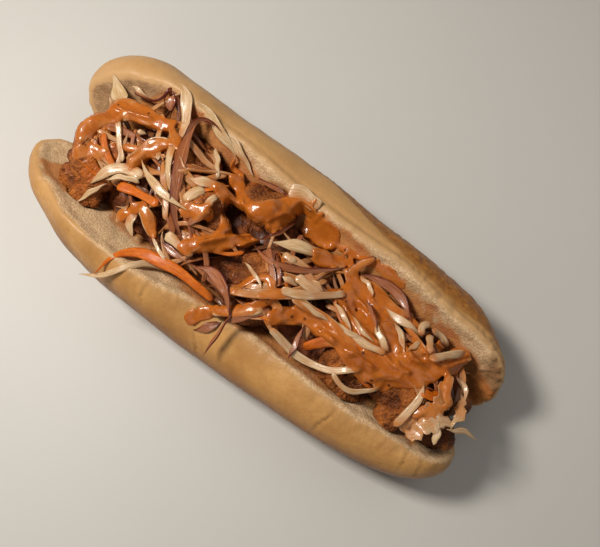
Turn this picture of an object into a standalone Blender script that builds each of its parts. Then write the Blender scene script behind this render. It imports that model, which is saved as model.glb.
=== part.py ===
# Shrimp po boy: a long soft roll split open, fried shrimp in its fold, and dressed slaw heaped over them.
# The scene is in metres, and the tables below are in mm and degrees. +Z is up, +X runs along the roll,
# and +Y points to the taller half. The origin is the middle of the flat underside that the roll rests on.
import math
import random

import bmesh
import bpy
import numpy as np
from mathutils import Matrix, Vector, noise
from mathutils.bvhtree import BVHTree

MM = 0.001
# GAP is the least space between two pieces. Shreds and pools are laid with CLEARANCE over the others.
GAP = 0.35 * MM
CLEARANCE = 0.8 * MM

# The cut faces of both halves meet in a fold that runs along X at FOLD_Z, and rise from it.
FOLD_Z = 12 * MM
NEAR_FACE_RISE = 41.6
FAR_FACE_RISE = 48.4

# A loaf is a long rounded body. Its sections run from the left end to the right end, each with x, the
# centre's y and z, and the radii along y and z. blunt says how square the left and right ends are.
NEAR_LOAF = {
    "ends": (-129, 120.5),
    "blunt": (3.7, 3.8),
    "sections": (
        (-132, -15, 18, 32, 21),
        (-105, -19, 20.5, 28.5, 25.5),
        (-78, -23, 23, 27, 29),
        (-45, -25, 23, 27, 28),
        (0, -24, 18, 27.5, 21.5),
        (45, -22.5, 18, 26.7, 22),
        (85, -22.6, 19, 26.3, 22.5),
        (123, -20.7, 20, 29, 26),
    ),
}
FAR_LOAF = {
    "ends": (-128.5, 120.5),
    "blunt": (4.6, 5.0),
    "sections": (
        (-124, 31, 25, 30, 23),
        (-100, 30.5, 25, 28.6, 28.7),
        (-78, 27.5, 27, 27, 31),
        (-45, 27, 25, 27, 28),
        (0, 27, 23, 27.5, 25.7),
        (45, 26, 22, 25.6, 26),
        (85, 25, 20.5, 26, 24.5),
        (121, 18.5, 22, 26.5, 28),
    ),
}
FOLD_CRUST = {
    "ends": (-103, 103),
    "blunt": (2.4, 2.4),
    "sections": ((-103, 0, 4, 19, 7.5), (103, 0, 4, 19, 7.5)),
}
SLAW_CORE = {
    "ends": (-97, 108),
    "blunt": (6.0, 2.8),
    "sections": ((-97, 5, 33, 28, 18), (-50, 1, 31, 29, 23), (10, 1, 29, 30, 26), (108, -1, 28, 29, 23)),
}
SECTION_POWER = 2.3
END_HEIGHT_POWER = 0.75
CRUST_RELIEF, CRUST_GRAIN = 1.4 * MM, 28
CORE_RELIEF, CORE_GRAIN = 3 * MM, 60

# Each shrimp: its centre, the tilt about X, the turn of its curl, and its size against a 44 mm long one.
SHRIMP = {
    "shrimp_left_top": ((-88, -4, 43), 10, 215, 1.05),
    "shrimp_left_low": ((-92, -20, 36), 40, 20, 0.9),
    "shrimp_wall_left": ((-50, 20, 43), -46, 160, 0.95),
    "shrimp_wall_mid": ((-14, 23, 42), -46, 20, 1.0),
    "shrimp_mid_left": ((-27, -4, 44), 24, 200, 0.95),
    "shrimp_mid": ((6, -14, 42), 26, 20, 0.95),
    "shrimp_near_right": ((62, -18, 38), 36, 205, 0.86),
    "shrimp_right": ((84, -13, 37), 30, 10, 0.9),
    "shrimp_right_low": ((103, -18, 31), 30, 120, 0.75),
    "shrimp_right_end": ((99, 3, 34), -10, 250, 0.8),
}
SHRIMP_CURL_RADIUS = 12 * MM
SHRIMP_BODY_RADIUS = 7.6 * MM
SHRIMP_HALF_CURL = math.radians(104)
SHRIMP_CENTRE = 4.5 * MM
BATTER_RELIEF, BATTER_GRAIN = 0.34, 1.7

SHRED_THICKNESS = {"cabbage": 1.6 * MM, "onion": 1.3 * MM, "carrot": 1.7 * MM}
# The shreds that stand out, laid in this order, lowest first. Each: its kind, the x and y of its middle,
# its heading, length, bend and width.
LEADING_SHREDS = [
    ("cabbage", -74, -17, 246, 32, 30, 3.4),
    ("cabbage", -72, -11, 215, 27, -26, 3.2),
    ("carrot", -57, -13, 8, 26, -10, 4.4),
    ("cabbage", -56, -20, 262, 26, -29, 4.0),
    ("cabbage", -34, -25, 339, 20, 6, 3.4),
    ("carrot", -41, -36, 50, 42, -62, 4.6),
    ("cabbage", -40, -42, 50, 36, 14, 3.4),
    ("carrot", -12, -28, 5, 34, 8, 4.6),
    ("onion", -26, -24, 2, 24, 12, 3.8),
    ("cabbage", 44, -27, 8, 46, 44, 4.2),
    ("cabbage", 68, -25, 18, 30, 110, 3.0),
    ("carrot", 45, -19, 30, 26, -44, 4.2),
    ("cabbage", 89, -16, 268, 26, -20, 4.2),
    ("cabbage", 99, -3, 302, 26, -30, 3.6),
    ("cabbage", 104, -15, 275, 18, 10, 4.2),
    ("carrot", 96, -6, 60, 20, 120, 3.6),
    ("cabbage", -85, 16, 330, 32, 10, 6.6),
    ("cabbage", -80, 4, 315, 30, 6, 4.4),
    ("onion", -79, 20, 44, 28, 80, 3.6),
    ("onion", -69, 23, 10, 36, -150, 3.8),
    ("cabbage", -60, 27, 312, 34, -50, 5.0),
    ("cabbage", -52, 28, 345, 34, 6, 3.8),
    ("cabbage", -50, 0, 304, 26, 32, 4.6),
    ("onion", -43, 6, 290, 66, 84, 5.6),
    ("cabbage", -44, -6, 351, 36, 27, 4.2),
    ("onion", 3, -31, 312, 52, -76, 3.8),
    ("cabbage", 12, -23, 38, 20, -6, 4.6),
    ("cabbage", 26, -3, 2, 20, 12, 5.0),
    ("cabbage", 34, -4, 33, 30, 30, 3.6),
    ("cabbage", 14, 7, 18, 28, -8, 5.4),
    ("onion", 23, 5, 24, 46, 42, 3.8),
    ("cabbage", 47, 13, 336, 18, -40, 3.2),
    ("onion", 58, 16, 350, 34, -26, 5.2),
    ("cabbage", 61, -8, 0, 22, 8, 5.0),
    ("cabbage", 68, 8, 358, 26, -8, 4.6),
    ("cabbage", 81, 8, 306, 20, -10, 4.2),
    ("cabbage", 86, 12, 350, 18, -12, 5.0),
]
# The rest are spread evenly along the heap, with seeded turns and sizes.
FILL_SHREDS = {
    "count": 34,
    "kinds": ("cabbage", "cabbage", "onion", "cabbage", "carrot"),
    "seed": 7,
    "x": (-78, 98),
    "y": (-17, 15),
    "turn": (-60, 60),
    "length": (22, 36),
    "bend": (-70, 70),
    "width": (3.0, 4.6),
}
GOLDEN_SHARE = 0.618
SHRED_STEP = 6 * MM
SHRED_SINK = 1.1 * MM
SHRED_HOLD = 0.3 * MM
SHRED_DROOPS = (0.3, 0.6, 0.9, 1.2)
SHRED_STRAIGHTENING = 3

# Pools of thick dressing, each with the x and y of its middle, its half length, half width and heading.
POOLS = [
    (-80, 15, 12, 6, 330),
    (-60, 3, 8, 6, 20),
    (-36, -14, 9, 6, 350),
    (-20, 4, 19, 8, 60),
    (-8, -8, 20, 7, 35),
    (12, 15, 17, 10, 20),
    (8, -25, 13, 6, 10),
    (38, -14, 24, 7, 345),
    (60, 0, 18, 13, 350),
    (80, -5, 17, 11, 330),
    (92, 6, 9, 7, 20),
]
POOL_THICKNESS = 1.8 * MM
POOL_SINK = 1.6 * MM
POOL_REACH = 1.5 * MM
POOL_WOBBLE = 0.3

# The share of the heap's triangles that is kept, and the height map that the shreds are laid on.
SLAW_KEPT = 0.8
MAP_LOW = Vector((-140, -70)) * MM
MAP_HIGH = Vector((140, 70)) * MM
MAP_CELL = 1 * MM
MAP_TOP = 200 * MM


# Tools that several pieces use

def clear_scene():
    for old in list(bpy.data.objects):
        bpy.data.objects.remove(old, do_unlink=True)


def new_collection(name):
    made = bpy.data.collections.new(name)
    bpy.context.scene.collection.children.link(made)
    return made


def new_material(name, colour, roughness):
    made = bpy.data.materials.new(name)
    made.use_nodes = True
    shader = made.node_tree.nodes["Principled BSDF"]
    shader.inputs["Base Color"].default_value = (*colour, 1.0)
    shader.inputs["Roughness"].default_value = roughness
    shader.inputs["Metallic"].default_value = 0.0
    return made


def set_material(target, material):
    target.data.materials.clear()
    target.data.materials.append(material)


def object_from(bm, name, collection, place=Matrix()):
    """An object of closed triangles that face outwards, put in its place."""
    bmesh.ops.triangulate(bm, faces=bm.faces, quad_method="FIXED")
    bmesh.ops.recalc_face_normals(bm, faces=bm.faces)
    if bm.calc_volume(signed=True) < 0:
        bmesh.ops.reverse_faces(bm, faces=bm.faces)
    mesh = bpy.data.meshes.new(name)
    bm.to_mesh(mesh)
    bm.free()
    made = bpy.data.objects.new(name, mesh)
    made.matrix_world = place
    collection.objects.link(made)
    bpy.context.view_layer.update()
    return made


def trim(bm, point, normal):
    """Cuts away what lies beyond the plane, on the side that its normal points to, and closes the cut."""
    geometry = bm.verts[:] + bm.edges[:] + bm.faces[:]
    bmesh.ops.bisect_plane(bm, geom=geometry, plane_co=point, plane_no=normal, clear_outer=True)
    rim = [edge for edge in bm.edges if edge.is_boundary]
    bmesh.ops.holes_fill(bm, edges=rim, sides=0)


def apply_modifiers(target):
    graph = bpy.context.evaluated_depsgraph_get()
    applied = bpy.data.meshes.new_from_object(target.evaluated_get(graph))
    target.modifiers.clear()
    target.data = applied
    applied.name = target.name


def join(target, collection, operation, solver="EXACT"):
    """Applies one Boolean of target with all that the collection holds, and removes those objects."""
    modifier = target.modifiers.new(operation.lower(), "BOOLEAN")
    modifier.operation = operation
    modifier.solver = solver
    modifier.operand_type = "COLLECTION"
    modifier.collection = collection
    apply_modifiers(target)
    for used in list(collection.objects):
        bpy.data.objects.remove(used, do_unlink=True)


def thin_out(target, kept):
    """Merges the smallest triangles, which Booleans leave along their cuts."""
    modifier = target.modifiers.new("thin_out", "DECIMATE")
    modifier.ratio = kept
    apply_modifiers(target)


def keep_largest_shell(target):
    """Drops loose scraps and fills sealed hollows, so that one closed outer surface is left."""
    bm = bmesh.new()
    bm.from_mesh(target.data)
    midway = [vertex for vertex in bm.verts if len(vertex.link_edges) == 2]
    bmesh.ops.dissolve_verts(bm, verts=midway)
    unseen = set(bm.faces)
    shells = []
    while unseen:
        shell = [unseen.pop()]
        for face in shell:
            near = {other for edge in face.edges for other in edge.link_faces} & unseen
            unseen -= near
            shell.extend(near)
        shells.append(shell)
    largest = max(shells, key=len)
    scraps = [face for shell in shells if shell is not largest for face in shell]
    bmesh.ops.delete(bm, geom=scraps, context="FACES")
    bmesh.ops.triangulate(bm, faces=bm.faces)
    bm.to_mesh(target.data)
    bm.free()


def world_points(target):
    return np.array([target.matrix_world @ vertex.co for vertex in target.data.vertices])


def boxes_meet(one, other):
    low_a, high_a = (pick(world_points(one), axis=0) for pick in (np.min, np.max))
    low_b, high_b = (pick(world_points(other), axis=0) for pick in (np.min, np.max))
    return bool((low_a - GAP < high_b).all() and (low_b - GAP < high_a).all())


def roughen(bm, relief, grain, seed):
    """Moves each vertex along its normal by smooth noise, the same way each time."""
    bm.normal_update()
    for vertex in bm.verts:
        vertex.co += vertex.normal * relief * noise.noise(vertex.co * grain + Vector((seed, 0, 0)))


def mix(low, high, share):
    return low + (high - low) * share


def smooth_share(value, low, high):
    share = min(1.0, max(0.0, (value - low) / (high - low)))
    return share * share * (3 - 2 * share)


# The two cut faces, each with its normal on the open side

def face_normal(rise, side):
    angle = math.radians(rise)
    return Vector((0, -side * math.sin(angle), math.cos(angle)))


FOLD = Vector((0, 0, FOLD_Z))
NEAR_NORMAL = face_normal(NEAR_FACE_RISE, -1)
FAR_NORMAL = face_normal(FAR_FACE_RISE, 1)


def trim_clear_of_roll(bm, place=Matrix()):
    """Cuts a filling back from both cut faces, given where it is placed."""
    back = place.inverted()
    for normal in (NEAR_NORMAL, FAR_NORMAL):
        trim(bm, back @ (FOLD + normal * GAP), back.to_3x3() @ -normal)


# The roll

def section_at(loaf, x):
    """The centre and radii at x, easing from each section to the next."""
    stations = loaf["sections"]
    for before, after in zip(stations, stations[1:]):
        if x <= after[0]:
            break
    share = smooth_share(x, before[0], after[0])
    return [mix(low, high, share) for low, high in zip(before[1:], after[1:])]


def loaf_body(loaf, segments, rings):
    """A closed loaf from a UV sphere whose poles become its two ends."""
    left, right = loaf["ends"]
    bm = bmesh.new()
    bmesh.ops.create_uvsphere(bm, u_segments=segments, v_segments=rings, radius=1)
    for vertex in bm.verts:
        along, angle = vertex.co.z, math.atan2(vertex.co.y, vertex.co.x)
        end = math.sqrt(max(0.0, 1 - abs(along) ** loaf["blunt"][0 if along < 0 else 1]))
        x = mix(left, right, (along + 1) / 2)
        centre_y, centre_z, radius_y, radius_z = section_at(loaf, x)
        wide, tall = (
            math.copysign(abs(part) ** (2 / SECTION_POWER), part)
            for part in (math.cos(angle), math.sin(angle))
        )
        y = centre_y + radius_y * end * wide
        z = centre_z + radius_z * end**END_HEIGHT_POWER * tall
        vertex.co = Vector((x, y, z)) * MM
    return bm


def make_half(name, loaf, normal, seed, collection):
    bm = loaf_body(loaf, segments=22, rings=24)
    roughen(bm, CRUST_RELIEF, CRUST_GRAIN, seed)
    trim(bm, FOLD, normal)
    trim(bm, Vector(), Vector((0, 0, -1)))
    return object_from(bm, name, collection)


def make_roll(collection, helpers, crust):
    """Two trimmed loaves, joined along the fold by the crust that the knife left whole."""
    roll = make_half("roll", NEAR_LOAF, NEAR_NORMAL, 3, collection)
    make_half("far_half", FAR_LOAF, FAR_NORMAL, 11, helpers)
    bm = loaf_body(FOLD_CRUST, segments=12, rings=14)
    trim(bm, Vector(), Vector((0, 0, -1)))
    object_from(bm, "fold_crust", helpers)
    join(roll, helpers, "UNION")
    set_material(roll, crust)
    return roll


# The fried shrimp

def shrimp_place(name):
    centre, tilt, turn, _ = SHRIMP[name]
    place = Matrix.Translation(Vector(centre) * MM)
    return place @ Matrix.Rotation(math.radians(tilt), 4, "X") @ Matrix.Rotation(math.radians(turn), 4, "Z")


def shrimp_body(name, swell=0.0):
    """A tapering body curled into a C about its own Z axis, with craggy batter."""
    seed, size = 5.3 * list(SHRIMP).index(name), SHRIMP[name][-1]
    bm = bmesh.new()
    bmesh.ops.create_uvsphere(bm, u_segments=10, v_segments=12, radius=1)
    half_curl = SHRIMP_HALF_CURL + 1.5 * swell / SHRIMP_CURL_RADIUS
    for vertex in bm.verts:
        crag = noise.noise(vertex.co * BATTER_GRAIN + Vector((seed, 0, 0)))
        along = math.asin(max(-1.0, min(1.0, vertex.co.z))) / (math.pi / 2)
        around = math.atan2(vertex.co.y, vertex.co.x)
        taper = (1 - abs(along) ** 3.2) ** 0.5 * (1 - 0.2 * along)
        thick = SHRIMP_BODY_RADIUS * taper * (1 + BATTER_RELIEF * crag) + swell * min(1, 4 * taper)
        reach = SHRIMP_CURL_RADIUS + thick * math.cos(around)
        bend = half_curl * along
        x, y = reach * math.cos(bend) - SHRIMP_CENTRE, reach * math.sin(bend)
        vertex.co = Vector((x, y, thick * math.sin(around))) * size
    bmesh.ops.triangulate(bm, faces=bm.faces, quad_method="FIXED")
    return bm


def add_print(name, collection):
    """The hollow that a shrimp presses into what lies against it, a gap larger than itself."""
    return object_from(shrimp_body(name, GAP), f"{name}_print", collection, shrimp_place(name))


def make_shrimp(collection, prints, batter):
    """Each shrimp stops short of both cut faces and of every shrimp placed before it."""
    made = []
    for name in SHRIMP:
        place = shrimp_place(name)
        bm = shrimp_body(name)
        trim_clear_of_roll(bm, place)
        piece = object_from(bm, name, collection, place)
        near = [other.name for other in made if boxes_meet(piece, other)]
        for other in near:
            add_print(other, prints)
        if near:
            join(piece, prints, "DIFFERENCE")
            keep_largest_shell(piece)
        set_material(piece, batter)
        made.append(piece)
    return made


# The slaw, laid shred by shred on a height map

class HeightMap:
    """How high the food stands over each cell: the others, to be cleared, and the heap, to be sunk into."""

    def __init__(self):
        self.shape = [int(round(span / MAP_CELL)) + 1 for span in MAP_HIGH - MAP_LOW]
        self.others = np.zeros(self.shape)
        self.heap = np.full(self.shape, -1.0)

    def cell(self, x, y):
        spot = (Vector((x, y)) - MAP_LOW) / MAP_CELL
        return [int(min(max(round(part), 0), size - 1)) for part, size in zip(spot, self.shape)]

    def window(self, x, y, radius):
        i, j = self.cell(x, y)
        reach = math.ceil(radius / MAP_CELL)
        return slice(max(i - reach, 0), i + reach + 1), slice(max(j - reach, 0), j + reach + 1)

    def add(self, target, layer):
        """Raises a layer to the highest point of an object over each cell."""
        bm = bmesh.new()
        bm.from_mesh(target.data)
        bm.transform(target.matrix_world)
        tree = BVHTree.FromBMesh(bm)
        bm.free()
        points = world_points(target)
        low, high = (self.cell(*corner[:2]) for corner in (points.min(0), points.max(0)))
        for i in range(low[0], high[0] + 1):
            for j in range(low[1], high[1] + 1):
                x, y = MAP_LOW + Vector((i, j)) * MAP_CELL
                hit = tree.ray_cast(Vector((x, y, MAP_TOP)), Vector((0, 0, -1)))[0]
                if hit:
                    layer[i, j] = max(layer[i, j], hit.z)

    def support(self, x, y, radius, sink):
        """The lowest height where a disc of this radius clears the others and sinks into the heap."""
        wide = self.window(x, y, radius + SHRED_STEP / 2)
        return max(self.others[wide].max() + CLEARANCE, self.heap_top(x, y, radius) - sink)

    def heap_top(self, x, y, radius):
        return self.heap[self.window(x, y, radius)].max()

    def stamp(self, x, y, radius, top):
        window = self.window(x, y, radius)
        self.heap[window] = np.maximum(self.heap[window], top)


def shred_route(x, y, heading, length, bend):
    """Points in plan, and their headings, along an arc with this middle, mean heading and total bend."""
    steps = max(5, round(length * MM / SHRED_STEP) + 1)
    angles = np.radians(heading + bend * np.linspace(-0.5, 0.5, steps + 1))
    mid_angles = (angles[1:] + angles[:-1]) / 2
    moves = np.column_stack((np.cos(mid_angles), np.sin(mid_angles))) * length * MM / steps
    route = np.vstack(((0, 0), np.cumsum(moves, axis=0)))
    return route - route[steps // 2] + np.array((x, y)) * MM, angles


def shred_heights(heights, route, radius, thickness):
    """A line that rests on the food and bridges its hollows, as a springy shred does. One that would
    touch only the others droops more steeply, until some of it lies in the heap, or else is left out."""
    support = np.array([heights.support(x, y, radius, SHRED_SINK) for x, y in route]) + thickness / 2
    buried = np.array([heights.heap_top(x, y, radius) for x, y in route]) + thickness / 2 - SHRED_HOLD
    apart = np.linalg.norm(route[:, None] - route[None], axis=2)
    for droop in SHRED_DROOPS:
        line = (support[None] - droop * apart).max(1)
        for _ in range(SHRED_STRAIGHTENING):
            line[1:-1] = np.maximum((line[:-2] + line[2:]) / 2, line[1:-1])
        if (line < buried)[1:-1].any():
            return line
    return None


def lay_shred(heights, name, shred, collection):
    """A strip with a four-sided section from a UV sphere whose poles become its pointed tips."""
    kind, x, y, heading, length, bend, width = shred
    thickness, width = SHRED_THICKNESS[kind], width * MM
    route, angles = shred_route(x, y, heading, length, bend)
    line = shred_heights(heights, route, width * 0.45, thickness)
    if line is None:
        return
    steps = len(route) - 1
    bm = bmesh.new()
    bmesh.ops.create_uvsphere(bm, u_segments=4, v_segments=steps, radius=1)
    for vertex in bm.verts:
        polar = math.acos(max(-1.0, min(1.0, vertex.co.z))) / math.pi
        station = round(polar * steps)
        share = abs(2 * polar - 1)
        corner = math.atan2(vertex.co.y, vertex.co.x) + math.pi / 4
        if 0 < station < steps:
            side = math.copysign(width / 2 * (1 - 0.5 * share**3), math.cos(corner))
            rise = math.copysign(thickness / 2 * (1 - 0.3 * share**4), math.sin(corner))
        else:
            side = rise = 0.0
        across = Vector((-math.sin(angles[station]), math.cos(angles[station]), 0))
        vertex.co = Vector((*route[station], line[station] + rise)) + across * side
    for (px, py), pz in zip(route, line):
        heights.stamp(px, py, width * 0.4, pz + thickness / 2)
    object_from(bm, name, collection)


def fill_shreds():
    rule = FILL_SHREDS
    draw = random.Random(rule["seed"])
    for number in range(rule["count"]):
        kind = rule["kinds"][number % len(rule["kinds"])]
        x = mix(*rule["x"], (number + 0.5) / rule["count"])
        y = mix(*rule["y"], number * GOLDEN_SHARE % 1)
        sizes = [draw.uniform(*rule[key]) for key in ("turn", "length", "bend", "width")]
        yield kind, x, y, *sizes


def pour_pool(heights, name, pool, collection):
    """A patch of dressing draped over the heap: a UV sphere with its lower half pressed into the shreds."""
    x, y, half_length, half_width, heading = pool
    turn = Matrix.Rotation(math.radians(heading), 2)
    bm = bmesh.new()
    bmesh.ops.create_uvsphere(bm, u_segments=10, v_segments=4, radius=1)
    for vertex in bm.verts:
        flat, up = vertex.co.xy, vertex.co.z
        wobble = 1 + POOL_WOBBLE * noise.noise(Vector((*flat.normalized(), x)) * 1.4)
        spread = Vector((flat.x * half_length, flat.y * half_width)) * wobble
        spot = (turn @ spread + Vector((x, y))) * MM
        rest = heights.support(*spot, POOL_REACH, POOL_SINK)
        vertex.co = (*spot, rest + POOL_SINK + up * (POOL_THICKNESS if up > 0 else POOL_SINK))
    return object_from(bm, name, collection)


def make_slaw(collection, helpers, prints, roll, shrimp, dressing):
    """A core with shreds and pools fused on, hollowed where the shrimp lie. It takes the MANIFOLD
    solver, because EXACT leaves edges with more than two faces where this many strips cross."""
    bm = loaf_body(SLAW_CORE, segments=24, rings=28)
    roughen(bm, CORE_RELIEF, CORE_GRAIN, 21)
    trim_clear_of_roll(bm)
    slaw = object_from(bm, "slaw", collection)
    heights = HeightMap()
    for other in (roll, *shrimp):
        heights.add(other, heights.others)
    heights.add(slaw, heights.heap)
    for number, shred in enumerate([*fill_shreds(), *LEADING_SHREDS]):
        lay_shred(heights, f"shred_{number}", shred, helpers)
    for number, pool in enumerate(POOLS):
        pour_pool(heights, f"pool_{number}", pool, helpers)
    join(slaw, helpers, "UNION", "MANIFOLD")
    for name in SHRIMP:
        add_print(name, prints)
    join(slaw, prints, "DIFFERENCE", "MANIFOLD")
    keep_largest_shell(slaw)
    thin_out(slaw, SLAW_KEPT)
    set_material(slaw, dressing)
    return slaw


def main():
    clear_scene()
    collection = new_collection("shrimp_po_boy")
    helpers = new_collection("helpers")
    prints = new_collection("prints")
    crust = new_material("roll_crust", (0.66, 0.40, 0.16), 0.6)
    batter = new_material("fried_batter", (0.46, 0.17, 0.04), 0.55)
    dressing = new_material("dressed_slaw", (0.68, 0.30, 0.09), 0.35)
    roll = make_roll(collection, helpers, crust)
    shrimp = make_shrimp(collection, prints, batter)
    slaw = make_slaw(collection, helpers, prints, roll, shrimp, dressing)
    sandwich = bpy.data.objects.new("sandwich", None)
    collection.objects.link(sandwich)
    for piece in (roll, *shrimp, slaw):
        piece.parent = sandwich


main()
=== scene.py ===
# Shrimp po boy: the looks of a split roll with fried shrimp and dressed slaw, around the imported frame.
# Lengths in the dictionaries are in millimetres and angles in degrees. Meshes are in metres.
import math
import random

import bmesh
import bpy
import numpy as np
from mathutils import Matrix, Vector, noise
from mathutils.bvhtree import BVHTree
from mathutils.kdtree import KDTree


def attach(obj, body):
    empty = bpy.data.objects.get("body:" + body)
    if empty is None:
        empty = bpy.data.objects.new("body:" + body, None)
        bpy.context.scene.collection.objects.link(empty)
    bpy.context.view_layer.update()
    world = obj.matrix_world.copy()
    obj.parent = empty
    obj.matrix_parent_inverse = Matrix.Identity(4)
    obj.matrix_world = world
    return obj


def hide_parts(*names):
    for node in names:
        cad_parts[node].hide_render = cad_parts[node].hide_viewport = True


mm = 0.001
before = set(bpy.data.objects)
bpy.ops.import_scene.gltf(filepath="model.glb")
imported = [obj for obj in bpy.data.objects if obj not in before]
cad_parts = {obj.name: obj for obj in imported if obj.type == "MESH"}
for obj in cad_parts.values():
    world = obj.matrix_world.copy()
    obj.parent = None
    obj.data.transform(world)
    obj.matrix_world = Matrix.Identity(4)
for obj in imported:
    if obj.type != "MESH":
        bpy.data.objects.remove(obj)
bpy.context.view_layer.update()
print("frame loaded:", len(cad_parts), "nodes")


# Camera, light and floor

view = {
    "place": (66.0, -65.4, 334.5),
    "forward": (-0.1546, 0.2298, -0.9609),
    "up": (-0.5783, 0.7675, 0.2766),
    "right": (0.8010, 0.5985, 0.0142),
    "lens": 41.2,
    "sensor": 36,
    "wide": 600,
    "high": 547,
}
lamps = {
    "keyLamp": {"place": (-310, -70, 520), "size": 140, "power": 3.4, "colour": (1.0, 0.96, 0.9)},
    "fillLamp": {"place": (260, 330, 420), "size": 420, "power": 0.4, "colour": (1.0, 0.98, 0.96)},
    "rimLamp": {"place": (80, -420, 300), "size": 300, "power": 0.25, "colour": (1.0, 0.97, 0.93)},
}
lampAim = (0, 0, 20)
room = {"colour": (1.0, 0.98, 0.95), "strength": 0.10, "floorSize": 3000, "floorColour": (0.60, 0.575, 0.53)}


def addCamera():
    camera = bpy.data.objects.new("photoCamera", bpy.data.cameras.new("photoCamera"))
    bpy.context.scene.collection.objects.link(camera)
    right, up, forward = (Vector(view[part]) for part in ("right", "up", "forward"))
    turn = Matrix((right, up, -forward)).transposed().to_4x4()
    camera.matrix_world = Matrix.Translation(Vector(view["place"]) * mm) @ turn
    camera.data.sensor_width = view["sensor"]
    camera.data.lens = view["lens"]
    camera.data.clip_start = 0.01
    bpy.context.scene.camera = camera


def addLamps():
    for name, lamp in lamps.items():
        light = bpy.data.lights.new(name, "AREA")
        light.energy = lamp["power"]
        light.color = lamp["colour"]
        light.size = lamp["size"] * mm
        holder = bpy.data.objects.new(name, light)
        bpy.context.scene.collection.objects.link(holder)
        holder.location = Vector(lamp["place"]) * mm
        toward = Vector(lampAim) * mm - holder.location
        holder.rotation_euler = toward.to_track_quat("-Z", "Y").to_euler()
    world = bpy.data.worlds.new("room")
    world.use_nodes = True
    background = world.node_tree.nodes["Background"]
    background.inputs["Color"].default_value = (*room["colour"], 1)
    background.inputs["Strength"].default_value = room["strength"]
    bpy.context.scene.world = world
    bpy.context.scene.view_settings.view_transform = "Standard"


# Noise over many points at once

def cellHash(cells, seed):
    mixed = cells[:, 0] * 73856093 ^ cells[:, 1] * 19349663 ^ cells[:, 2] * 83492791 ^ (seed * 40503 + 977)
    mixed = ((mixed ^ (mixed >> 13)) * 1274126177) & 0xFFFFFFFF
    mixed = ((mixed ^ (mixed >> 15)) * 2246822519) & 0xFFFFFFFF
    return mixed ^ (mixed >> 16)


def hashVector(cells, seed):
    value = cellHash(cells, seed)
    return np.column_stack([(value >> shift & 1023) / 511.5 - 1 for shift in (0, 10, 20)])


def softNoise(points, cell, seed=0):
    # gradient noise, about -1 to 1, with bumps as wide as the cell (in mm)
    spots = points / (cell * mm) + seed * 3.17
    base = np.floor(spots).astype(np.int64)
    part = spots - base
    fade = part**3 * (part * (part * 6 - 15) + 10)
    total = np.zeros(len(points))
    for corner in range(8):
        step = np.array([corner >> axis & 1 for axis in range(3)])
        weight = np.prod(np.where(step, fade, 1 - fade), axis=1)
        total += weight * ((part - step) * hashVector(base + step, seed)).sum(1)
    return total * 1.5


def nearestSpot(points, cell, seed=0):
    # distance to the nearest of many scattered spots, in cells
    spots = points / (cell * mm)
    base = np.floor(spots).astype(np.int64)
    best = np.full(len(points), 9.0)
    for corner in range(27):
        step = np.array([corner // 3**axis % 3 - 1 for axis in range(3)])
        spot = base + step + 0.5 + 0.45 * hashVector(base + step, seed)
        best = np.minimum(best, np.linalg.norm(spots - spot, axis=1))
    return best


def ease(value, low, high):
    share = np.clip((value - low) / (high - low), 0, 1)
    return share * share * (3 - 2 * share)


# Meshes from arrays

def tubeShape(rings):
    # rings is (stations, around, 3). Each end closes on its middle point.
    stations, around = rings.shape[:2]
    row = np.arange(stations - 1)[:, None] * around
    here = np.arange(around)[None]
    beside = (here + 1) % around
    quads = np.stack((row + here, row + beside, row + around + beside, row + around + here), axis=-1)
    first, last = stations * around, stations * around + 1
    end = (stations - 1) * around
    startFan = np.column_stack((np.full(around, first), beside[0], here[0]))
    endFan = np.column_stack((np.full(around, last), end + here[0], end + beside[0]))
    points = np.vstack((rings.reshape(-1, 3), rings[0].mean(0), rings[-1].mean(0)))
    fans = np.vstack((startFan, endFan))
    return {"points": points, "quads": quads.reshape(-1, 4), "tris": fans, "marks": {}}


def turnOutward(shape):
    points, quads = shape["points"], shape["quads"]
    corners = [points[quads[:, corner]] for corner in range(4)]
    middle = points.mean(0)
    across = np.cross(corners[2] - corners[0], corners[3] - corners[1])
    if (across * (sum(corners) / 4 - middle)).sum() < 0:
        shape["quads"] = quads[:, ::-1]
        shape["tris"] = shape["tris"][:, ::-1]
    return shape


def meshFrom(name, shapes):
    # One object from several shapes. A mark is a number for each point, kept as an attribute.
    offset = 0
    points, faces = [], []
    for shape in shapes:
        points.append(shape["points"])
        faces += (shape["quads"] + offset).tolist() + (shape["tris"] + offset).tolist()
        offset += len(shape["points"])
    mesh = bpy.data.meshes.new(name)
    mesh.from_pydata(np.vstack(points).tolist(), [], faces)
    for mark in shapes[0]["marks"]:
        setMark(mesh, mark, np.concatenate([shape["marks"][mark] for shape in shapes]))
    mesh.shade_smooth()
    made = bpy.data.objects.new(name, mesh)
    bpy.context.scene.collection.objects.link(made)
    return made


def setMark(mesh, name, values):
    mark = mesh.attributes.get(name) or mesh.attributes.new(name, "FLOAT", "POINT")
    mark.data.foreach_set("value", np.asarray(values, dtype=np.float32))


def pointsOf(mesh):
    flat = np.empty(len(mesh.vertices) * 3, dtype=np.float32)
    mesh.vertices.foreach_get("co", flat)
    return flat.reshape(-1, 3).astype(float)


def normalsOf(mesh):
    flat = np.empty(len(mesh.vertices) * 3, dtype=np.float32)
    mesh.vertex_normals.foreach_get("vector", flat)
    return flat.reshape(-1, 3).astype(float)


def movePoints(mesh, points):
    mesh.vertices.foreach_set("co", points.astype(np.float32).ravel())
    mesh.update()


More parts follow.
